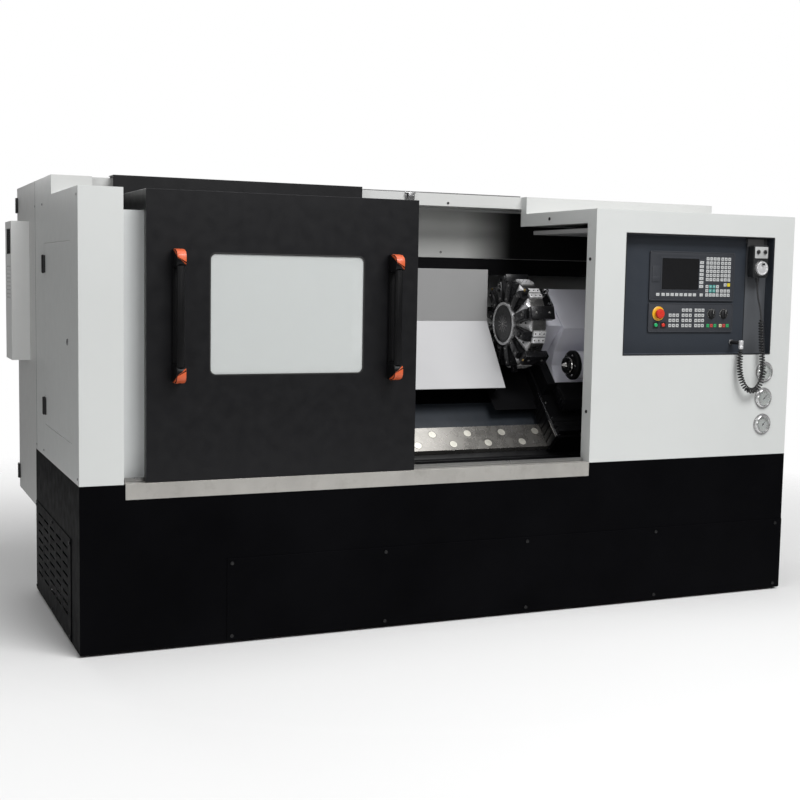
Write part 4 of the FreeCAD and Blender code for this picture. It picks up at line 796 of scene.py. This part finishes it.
pendant_black = surface("pendant_black", (0.013, 0.014, 0.015), 0.4, tone=0.12, grain=0.00008,
                        grain_size=0.0009, edge=0.0008, edge_highlight=3)
plate_light = surface("plate_light", (0.62, 0.63, 0.63), 0.36, tone=0.08, grain=0.00002, metal=0.4)
wheel_bright = surface("wheel_bright", (0.78, 0.78, 0.79), 0.25, tone=0.06, metal=0.45, grain=0.00001)
hook_steel = surface("hook_steel", (0.22, 0.22, 0.225), 0.35, tone=0.12, metal=0.9, grain=0.00003)
dress(hook_steel, "pendant_hook")

on_pendant = facing_front(-5)
bm = bmesh.new()
panel(bm, rounded(2756, 2831, 1332, 1466, 9), -36, -1.5, on_pendant)
panel(bm, rounded(2758, 2829, 1334, 1464, 8), -2, 0, on_pendant)
panel(bm, rounded(2760, 2827, 1412, 1460, 3), -0.2, 0.8, on_pendant, 1)
for n in range(5):
    for x in (2755.6, 2830.6):
        slab(bm, x, x + 0.8, 0, 26, 1350 + 12 * n, 1355 + 12 * n)
turn_solid(bm, (2793, 14, 1333), (0, 0, -1), [(0, 0), (0, 9), (4, 9), (6, 7.5), (9, 7.8), (11, 6.6),
                                              (14, 6.9), (16, 5.6), (19, 5.8), (21, 4.2), (22, 0)], 28)
pendant = piece("pendant_case", bm, "machine", [pendant_black, plate_light], bevel=0.7)
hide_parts("pendant_body")
for label, x in (("axis", 2776), ("step", 2811)):
    knob(label + "_selector_moulded", label + "_selector", label + "_selector", x, 1439, -5.8, 8.5, 9, 6)
bm = bmesh.new()
for x in (2776, 2811):
    dial(bm, (x, 1439), 10.6, -70, 70, 6, 2, 0.35, 46.05, 46.2)
piece("selector_scales", bm, "machine", [mark_white])
bm = bmesh.new()
wheel_middle = (2793.5, 1371)
wheel_at = (wheel_middle[0], -5, wheel_middle[1])
turn_solid(bm, wheel_at, (0, -1, 0), [(-10, 0), (-10, 4.8), (1.2, 4.8), (1.2, 27), (2.2, 28), (11.5, 28),
                                      (13, 26.5), (13, 23.5), (10.5, 21.5), (10.5, 9), (12.5, 6), (12.8, 0)],
           64)
for n in range(60):
    angle = 2 * math.pi * n / 60
    rib_at = (wheel_middle[0] + 27.6 * math.sin(angle), -6.9, wheel_middle[1] + 27.6 * math.cos(angle))
    turn_solid(bm, rib_at, (0, -1, 0), [(0, 0), (0, 0.9), (9.8, 0.9), (9.8, 0)], 6)
turn_solid(bm, (2793.5, -15, 1387.8), (0, -1, 0), [(0, 0), (0, 3), (4, 3), (4.5, 4.2), (11, 4.6), (12, 3.6),
                                                   (12.4, 0)], 24, 1)
wheel = piece("pulse_wheel", bm, "handwheel", [wheel_bright, pendant_black])
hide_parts("handwheel")
bm = bmesh.new()
dial(bm, wheel_middle, 29.5, 0, 356.4, 100, 2.2, 0.18, 45.05, 45.2)
piece("wheel_scale", bm, "machine", [mark_white])

bm = bmesh.new()
turn_solid(bm, (2695, 46, 1062), (0, -1, 0), [(0, 0), (0, 11), (4, 11), (4, 8), (68, 8), (68, 0)], 24, 1)
turn_solid(bm, (2695, -22, 1072), (0, 0, -1), [(0, 0), (0, 8), (2, 9.8), (20, 9.8), (20, 8.6), (23, 8.6),
                                               (23, 9.9), (33, 9.9), (36, 7.5), (36, 3.2), (30, 0)], 32)
gland = piece("gland_elbow", bm, "machine", [wheel_bright, knob_black], bevel=0.5)
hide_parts("cord_gland")

# ---- Electrical cabinet
# The grey cabinet on the back holds the drives. Its door has a swing handle, and a cooling unit
# is screwed to its left side.

screws("cooler_screws", steel_screws, [(-70.6, y, z) for y in (1168, 1347) for z in (950, 1125, 1320, 1496)]
      + [(-70.6, 1257, 1345)], "machine", "cabinet_grey", 8, 1.2, (-1, 0, 0))
mesh_dark = surface("mesh_dark", (0.03, 0.03, 0.03), 0.5, tone=0.3, metal=0.5)
bm = bmesh.new()
for n in range(19):
    slab(bm, -69.5, -68.3, 1190 + 7.4 * n, 1191.2 + 7.4 * n, 1376, 1475)
for n in range(13):
    slab(bm, -69.4, -68.4, 1188, 1328, 1379 + 7.8 * n, 1380.2 + 7.8 * n)
piece("cooler_grille", bm, "machine", [mesh_dark])
bm = bmesh.new()
for n in range(9):
    z = 1318 - 16 * n
    panel(bm, [(-69, z + 7.4), (-71.6, z - 0.5), (-70.4, z - 1.2), (-68, z + 6.4)], 1190, 1325,
          lambda u, v, out: (u, out, v))
piece("cooler_louvres", bm, "machine", [cabinet_grey])
bm = bmesh.new()
on_rear_door = lambda u, v, out: (u, 1531 + out, v)
panel(bm, rounded(820, 862, 930, 1080, 8), 0, 0.72, on_rear_door)
panel(bm, rounded(830, 852, 960, 1070, 6), 0.72, 0.9, on_rear_door, 1)
piece("rear_door_handle", bm, "rear_door", [knob_black, screw_steel], bevel=0.3)

# ---- Sliding door
# A double-skinned steel door in smooth dark paint, with a hood that runs back over the opening.
# A seal clamps the window, which has a milky film. Each grip is a ribbed bar between two ends
# with coloured caps.

door_dark = surface("door_dark", (0.0045, 0.0045, 0.0056), 0.38, tone=0.10, cloud=1.3, grain=0.00003,
                    grain_size=0.0019, edge=0.0022, edge_highlight=3.2, shine=0.35)
seal_black = surface("seal_black", (0.010, 0.010, 0.010), 0.6, tone=0.15, grain=0.00008)
pane_film = surface("pane_film", (0.80, 0.83, 0.82), 0.15, tone=0.02, cloud=1.2, transmission=0.35)
grip_black = surface("grip_black", (0.0055, 0.0055, 0.006), 0.36, tone=0.15, grain=0.00004, grain_size=0.0009,
                     edge=0.0006, edge_highlight=3, shine=0.16)
cap_orange = surface("cap_orange", (0.66, 0.115, 0.035), 0.34, tone=0.06, grain=0.00005, grain_size=0.0009,
                     edge=0.001, edge_highlight=1.25)
dress(door_dark, "door_panel")
dress(pane_film, "door_window")

bm = bmesh.new()
frame_ring(bm, rounded(444.5, 1020, 955, 1380, 24, 10), rounded(449.5, 1015, 960, 1375, 19, 10), -3, 0.6,
           on_front)
piece("window_seal", bm, "door", [seal_black], bevel=0.3)

bm = bmesh.new()
for centre in (329, 1127):
    lobes = 22
    outline = []
    for n in range(lobes * 4):
        angle = 2 * math.pi * n / (lobes * 4)
        reach = 14 + 0.4 * math.cos(lobes * angle)
        outline.append((centre + reach * math.sin(angle), -62 + reach * math.cos(angle)))
    panel(bm, outline, 990, 1332, lambda u, v, out: (u, v, out))
    panel(bm, rounded(centre - 12, centre + 12, 992, 1330, 2), 0.1, 9, on_front)
    panel(bm, rounded(centre - 7, centre + 7, 1000, 1322, 2), 9, 10.5, on_front)
grips = piece("grip_bars", bm, "door", [grip_black], bevel=0.5)
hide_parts("door_grips")

bm = bmesh.new()
for centre in (329, 1127):
    for foot, way in ((1388, -1), (934, 1)):
        arm = [(0, 2), (0, 62), (-50, 62), (-66, 58), (-74, 50), (-77, 40), (-77, 24), (-70, 12), (-56, 4),
               (-36, 0), (-8, 0)]
        side = [(y, foot + way * t) for y, t in arm]
        panel(bm, side, centre - 16.2, centre + 16.2, lambda u, v, out: (out, u, v))
        outer = [(-24, -1.4), (-56, 2.2), (-72, 10), (-79.2, 22)]
        near = outer + [(-79.4, 28), (-72, 24), (-50, 14), (-30, 6)]
        far = outer + [(-79.4, 47), (-72, 58), (-58, 40), (-36, 12)]
        loops = [[bm.verts.new(spot(x, y, foot + way * t)) for y, t in profile]
                 for x, profile in ((centre - 17.6, near), (centre + 17.6, far))]
        for n in range(8):
            m = (n + 1) % 8
            bm.faces.new([loops[0][n], loops[0][m], loops[1][m], loops[1][n]]).material_index = 1
        for loop in loops:
            bm.faces.new(loop).material_index = 1
ends = piece("grip_ends", bm, "door", [grip_black, cap_orange], bevel=2.2)
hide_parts("door_grip_ends")
door_bolts = [(x, 563, 1655) for x in (240, 700, 1130, 1170, 1215)]
screws("upstand_screws", black_screws, door_bolts, "door", "dark_door", 8, 2.5)
bm = bmesh.new()
for x in (240, 700, 1130, 1150, 1215):
    turn_solid(bm, (x, 590, 1663), (0, 0, 1), [(0, 0), (0, 5), (5.8, 5), (6, 4.4), (6, 0)], 6)
piece("upstand_nuts", bm, "door", [screw_steel])

# ---- Carriage
# A saddle that slides on the ways in black guards. The white folded sheet keeps chips off the
# ways to its left. Steel-edged wipers run down the slope.

sheet_white = surface("sheet_white", (0.47, 0.47, 0.48), 0.40, tone=0.035, cloud=1.5, grain=0.00005,
                      grain_size=0.003, edge=0.0012, edge_highlight=1.1)
# A darker copy of the way cover's paint, as painted shade on its upright upper part.
sheet_painted_shade = surface("sheet_painted_shade", (0.31, 0.31, 0.31), 0.38, tone=0.04, cloud=1.5, grain=0.00005,
                     grain_size=0.003)
dress(sheet_white, "way_cover")
dress(guard_black, "carriage_guard", "saddle", "cross_slide")

bm = bmesh.new()
for n in range(7):
    first = -246 + 34 * n
    slab(bm, 2000, 2010, first, first + 30, 2, 82 + 3 * (n % 2), 0, on_slope)
slab(bm, 1998, 2009, -249, -14, 80, 90, 1, on_slope)
slab(bm, 2001, 2009.6, -250, -60, 0.4, 3, 1, on_slope)
for up, out, high in ((-238, 82, 30), (-210, 84, 26), (-182, 86, 22)):
    slab(bm, 2009.5, 2160, up, up + 24, 78, 78 + high, 0, on_slope)
piece("saddle_wipers", bm, "carriage", [guard_black, chuck_steel], bevel=1.2)
# A thin plate over the way cover's upright upper part carries its paint darkened, as painted shade.
bm = bmesh.new()
slab(bm, 1005, 1837, 610.1, 611.1, 1127, 1345)
piece("way_cover_upper_shade", bm, "carriage", [sheet_painted_shade])
screws("saddle_screws", steel_screws, [on_slope(2022, up, 80) for up in (-235, -150, -65)], "carriage",
       "black_guard", 11, 5, (0, -1, 1))

# ---- Turret
# A twelve-station disc of ground steel. A black block is wedged in each station with two screws.
# Some carry turning tools and some boring bars, and steel holders overhang the rim.

turret_steel = surface("turret_steel", (0.34, 0.335, 0.33), 0.27, tone=0.22, cloud=14.0, grain=0.00003,
                       grain_size=0.0012, metal=1.0, soil=0.5, edge=0.0014, edge_highlight=1.8)
tool_black = surface("tool_black", (0.009, 0.009, 0.010), 0.28, tone=0.3, cloud=18.0, grain=0.00005,
                     grain_size=0.0014, metal=0.1, edge=0.0010, edge_highlight=7.0, soil=0.2, shine=0.35)
cover_pale = surface("cover_pale", (0.80, 0.80, 0.88), 0.36, tone=0.03, cloud=2.0, grain=0.00005,
                     grain_size=0.002, edge=0.003, edge_highlight=1.1)
# A lighter, less metallic copy of the turret steel, with grime, gives the wedges and rim holders a painted
# highlight.
facet_steel_painted_highlight = surface("facet_steel_painted_highlight", (0.78, 0.78, 0.79), 0.30, tone=0.35, cloud=16.0, grain=0.00004,
                      grain_size=0.0012, metal=0.35, soil=0.6, edge=0.0012, edge_highlight=1.5)
insert_gold = surface("insert_gold", (0.55, 0.38, 0.12), 0.3, tone=0.1, metal=1.0)
dress(turret_steel, "turret_disc")
dress(tool_black, "tool_holders")
dress(cover_pale, "turret_cover", "tailstock", "turret_housing")
turret_up, turret_out = 236, 250


def on_turret(station, x, across, reach):
    """A point on the turret: along its axis, across the station and out from the axis."""
    angle = math.radians(30 * station)
    up = turret_up - reach * math.sin(angle) + across * math.cos(angle)
    out = turret_out + reach * math.cos(angle) + across * math.sin(angle)
    return on_slope(x, up, out)


def at_station(station):
    """Lays a block or an outline in a station's own directions."""
    return lambda x, across, reach: on_turret(station, x, across, reach)


bm = bmesh.new()
hub = on_slope(1862, turret_up, turret_out)
turn_solid(bm, hub, (-1, 0, 0), [(-8, 0), (-8, 80.4), (5.4, 80.4), (6.6, 78), (7, 66), (7, 0)], 72, 0)
turn_solid(bm, hub, (-1, 0, 0), [(-6, 80.5), (-6, 91), (6, 91), (7.4, 89.6), (7.4, 86.6), (5.6, 86),
                                 (5.6, 84), (7, 83.4), (7, 80.5), (-6, 80.5)], 72, 3)
for n in range(12):
    slab(bm, 1854.4, 1855.6, -1.3, 1.3, 9, 38, 1, at_station(n))
turn_solid(bm, (1855.2,) + hub[1:], (-1, 0, 0), [(0, 0), (0, 7), (1.4, 6), (1.4, 0)], 24, 1)
for n in range(12):
    lay, between = at_station(n), at_station(n + 0.5)
    rows = []
    for reach, wide, high in ((96, 4.5, 2), (178, 25, 15)):
        back = max(reach - 109, 0) * 0.32
        profile = ((-wide, -4), (-wide, 0.8), (-wide * 0.1, high), (wide, 0.8), (wide, -4))
        rows.append([bm.verts.new(spot(*between(1872 + back - out, across, reach)))
                     for across, out in profile])
    for k in range(5):
        m = (k + 1) % 5
        bm.faces.new([rows[0][k], rows[0][m], rows[1][m], rows[1][k]]).material_index = 3
    for row in rows:
        bm.faces.new(row).material_index = 3
    for reach in (128, 160):
        centre = between(1872 - 3.6 + (reach - 109) * 0.15, 9, reach)
        turn_solid(bm, centre, (-1, 0, 0), [(-2, 0), (-2, 4.6), (1.2, 4.6), (1.8, 4), (1.8, 2.4), (0, 2.4),
                                            (0, 0)], 16, 0)
    slab(bm, 1855, 1866, -16, 16, 98, 178, 2, lay)
    slab(bm, 1853, 1856, -15, 15, 122, 150, 2, lay)
    for reach in (109, 168):
        centre = on_turret(n, 1855, 0, reach)
        turn_solid(bm, centre, (-1, 0, 0), [(0, 0), (0, 4.6), (1.4, 4.6), (1.8, 4), (1.8, 2.2), (0.2, 2.2),
                                            (0.2, 0)], 16, 1)
piece("turret_face", bm, "turret", [tool_black, turret_steel, tool_black, facet_steel_painted_highlight],
      bevel=0.7)

bm = bmesh.new()
for n in range(12):
    lay = at_station(n)
    out = (Vector(on_turret(n, 0, 0, 1)) - Vector(on_turret(n, 0, 0, 0))).normalized()
    if n in (1, 3, 7, 10):
        slab(bm, 1880, 1988, -27, 27, 178, 210, 0, lay)
        slab(bm, 1874, 1882, -22, 22, 182, 204, 0, lay)
        for x in (1902, 1964):
            turn_solid(bm, lay(x, 0, 210), out,
                       [(-1, 0), (-1, 6), (2.5, 6), (3, 5), (3, 3), (1, 3), (1, 0)], 16, 1)
    else:
        for across in (-14, 14):
            slab(bm, 1900, 1960, across - 12, across + 12, 176, 189, 2, lay)
            for x in (1910, 1930, 1950):
                turn_solid(bm, on_turret(n, x, across, 189), out, [(-1, 0), (-1, 3.6), (0.4, 3.6), (0.4, 0)],
                           16, 0)
piece("rim_holders", bm, "turret", [tool_black, turret_steel, facet_steel_painted_highlight], bevel=1.0)

bm = bmesh.new()
for n in (0, 3, 6, 9):
    lay = at_station(n)
    slab(bm, 1878, 1894, -8, 8, 180, 208, 0, lay)
    panel(bm, [(198, -7), (209, -4), (209, 4), (200, 7)], 1874, 1878.5,
          lambda u, v, out, n=n: on_turret(n, out, v, u), 1)
for n in (2, 6, 10):
    centre = on_turret(n, 1850, 0, 150)
    turn_solid(bm, centre, (-1, 0, 0), [(-6, 0), (-6, 12), (4, 12), (5, 8), (6.5, 8), (7, 6), (7, 0)], 28, 0)
piece("turning_tools", bm, "turret", [tool_black, insert_gold], bevel=0.8)

# The housing behind the disc, its bolted cap, lifting eye and steel wiper edge.
bm = bmesh.new()
slab(bm, 1968, 2050, 240, 338, 352, 358, 0, on_slope)
slab(bm, 2051, 2057, 240, 344, 346, 360, 1, on_slope)
eye_at = Vector(on_slope(2030, 300, 358))
up_slope = (Vector(on_slope(0, 0, 1)) - Vector(on_slope(0, 0, 0))).normalized()
turn_solid(bm, eye_at, up_slope, [(0, 0), (0, 9), (4, 9), (5, 6), (12, 5), (12, 0)], 24, 1)
ring_middle, ring_radius, ring_parts = eye_at + up_slope * 24, 13, 28
ring = []
for n in range(ring_parts + 1):
    angle = 2 * math.pi * n / ring_parts
    ring.append(ring_middle + (up_slope * math.cos(angle) + Vector((math.sin(angle), 0, 0))) * ring_radius)
for first, second in zip(ring, ring[1:]):
    far = (second - first).length + 0.4
    turn_solid(bm, first, second - first, [(-0.4, 0), (-0.4, 3.2), (far, 3.2), (far, 0)], 10, 1)
piece("housing_details", bm, "cross_slide", [guard_black, chuck_steel])
screws("housing_screws", steel_screws, [on_slope(x, up, 358) for x in (1978, 2040) for up in (250, 328)],
      "cross_slide", "iron", 12, 5, (0, -1, 1))
screws("turret_cover_screws", steel_screws, [on_slope(2285, up, out) for up, out in ((60, 190), (330, 340))],
      "cross_slide", "turret_white", 9, 1.4, (1, 0, 0))

# The black cover over the lower end of the cross slide, with folded ribs on its corner.
bm = bmesh.new()
panel(bm, [(-138, 112), (-138, 128), (-112, 158), (-24, 158), (-24, 112)], 2060, 2284,
      lambda u, v, out: on_slope(out, u, v))
for n in range(4):
    slab(bm, 2052 + 2 * n, 2062, -130 + 26 * n, -112 + 26 * n, 112, 150, 0, on_slope)
    slab(bm, 2051 + 2 * n, 2053 + 2 * n, -130 + 26 * n, -128 + 26 * n, 112, 150, 1, on_slope)
piece("slide_end_cover", bm, "cross_slide", [guard_black, chuck_steel], bevel=1.2)

# ---- Tailstock
# A painted casting clamped on the lower way. Its quill ends in a dark clamped nose and a centre.

bm = bmesh.new()
nose = on_slope(2104, 0, 250)
turn_solid(bm, nose, (-1, 0, 0), [(-6, 36), (-6, 62), (6, 62), (12, 58), (16, 50), (16, 38), (12, 35.6),
                                  (-6, 36)], 56, 0)
for n in range(6):
    angle = math.radians(60 * n)
    centre = (2088, nose[1] + 47 * math.cos(angle), nose[2] + 47 * math.sin(angle))
    turn_solid(bm, centre, (-1, 0, 0), [(0, 0), (0, 5), (1.6, 5), (2, 4.4), (2, 2.6), (0.4, 2.6), (0.4, 0)],
               16, 1)
piece("tailstock_nose", bm, "tailstock", [guard_black, chuck_steel])
bm = bmesh.new()
turn_solid(bm, nose, (-1, 0, 0), [(27, 15), (27, 33), (30, 34), (36, 33), (38, 28), (38, 16), (27, 15)], 48,
           0)
piece("quill_nut", bm, "quill", [tool_black])

# ---- Floor and light
# A plain pale floor under a large soft light from the front right, with a weaker one on the left.

floor_pale = material("floor_pale", (0.90, 0.90, 0.90), 0.7)
floor_shader = floor_pale.node_tree.nodes["Principled BSDF"]
floor_place = add(floor_pale, "TexCoord")
floor_reach = add(floor_pale, "VectorMath", operation="LENGTH")
floor_fade = add(floor_pale, "MapRange", From_Min=1.9, From_Max=4.4, To_Min=1.0, To_Max=0.0)
wire(floor_pale, (floor_place, "Object", floor_reach, 0), (floor_reach, "Value", floor_fade, "Value"),
     (floor_fade, "Result", floor_shader, "Alpha"))
bm = bmesh.new()
bmesh.ops.create_circle(bm, cap_ends=True, segments=96, radius=5.4)
floor_mesh = bpy.data.meshes.new("floor")
bm.to_mesh(floor_mesh)
bm.free()
floor_mesh.materials.append(floor_pale)
floor = bpy.data.objects.new("floor", floor_mesh)
floor.location = (0, 0, -0.0005)
bpy.context.scene.collection.objects.link(floor)


def soft_light(name, place, aim, width, height, power, tone=(1, 1, 1)):
    lamp = bpy.data.lights.new(name, "AREA")
    lamp.shape = "RECTANGLE"
    lamp.size = width
    lamp.size_y = height
    lamp.energy = power
    lamp.color = tone
    made = bpy.data.objects.new(name, lamp)
    made.location = place
    made.rotation_euler = (Vector(aim) - Vector(place)).to_track_quat("-Z", "Y").to_euler()
    bpy.context.scene.collection.objects.link(made)


soft_light("front_box", (1.3, -5.2, 6.2), (0.1, 0, 0.9), 5.0, 2.4, 445)
soft_light("door_strip", (0.7, -5.6, 3.1), (-0.6, -0.7, 1.4), 2.6, 0.8, 22)
soft_light("top_box", (0.2, -0.8, 4.8), (0.2, 0, 0.6), 4.4, 2.2, 60)
soft_light("left_fill", (-4.4, -4.4, 2.6), (0.2, 0, 1.0), 2.0, 2.0, 48)
soft_light("back_fill", (-1.0, 5.5, 3.2), (0, 0, 0.9), 4.0, 2.5, 90)

world = bpy.data.worlds.new("studio")
world.use_nodes = True
bpy.context.scene.world = world
sky = world.node_tree.nodes["Background"]
sky.inputs["Color"].default_value = (1, 1, 1, 1)
rays = world.node_tree.nodes.new("ShaderNodeLightPath")
glow = world.node_tree.nodes.new("ShaderNodeMapRange")
glow.inputs["To Min"].default_value = 0.17
glow.inputs["To Max"].default_value = 1.0
world.node_tree.links.new(rays.outputs["Is Camera Ray"], glow.inputs["Value"])
world.node_tree.links.new(glow.outputs["Result"], sky.inputs["Strength"])
bpy.context.scene.view_settings.view_transform = "Standard"

bpy.context.view_layer.update()
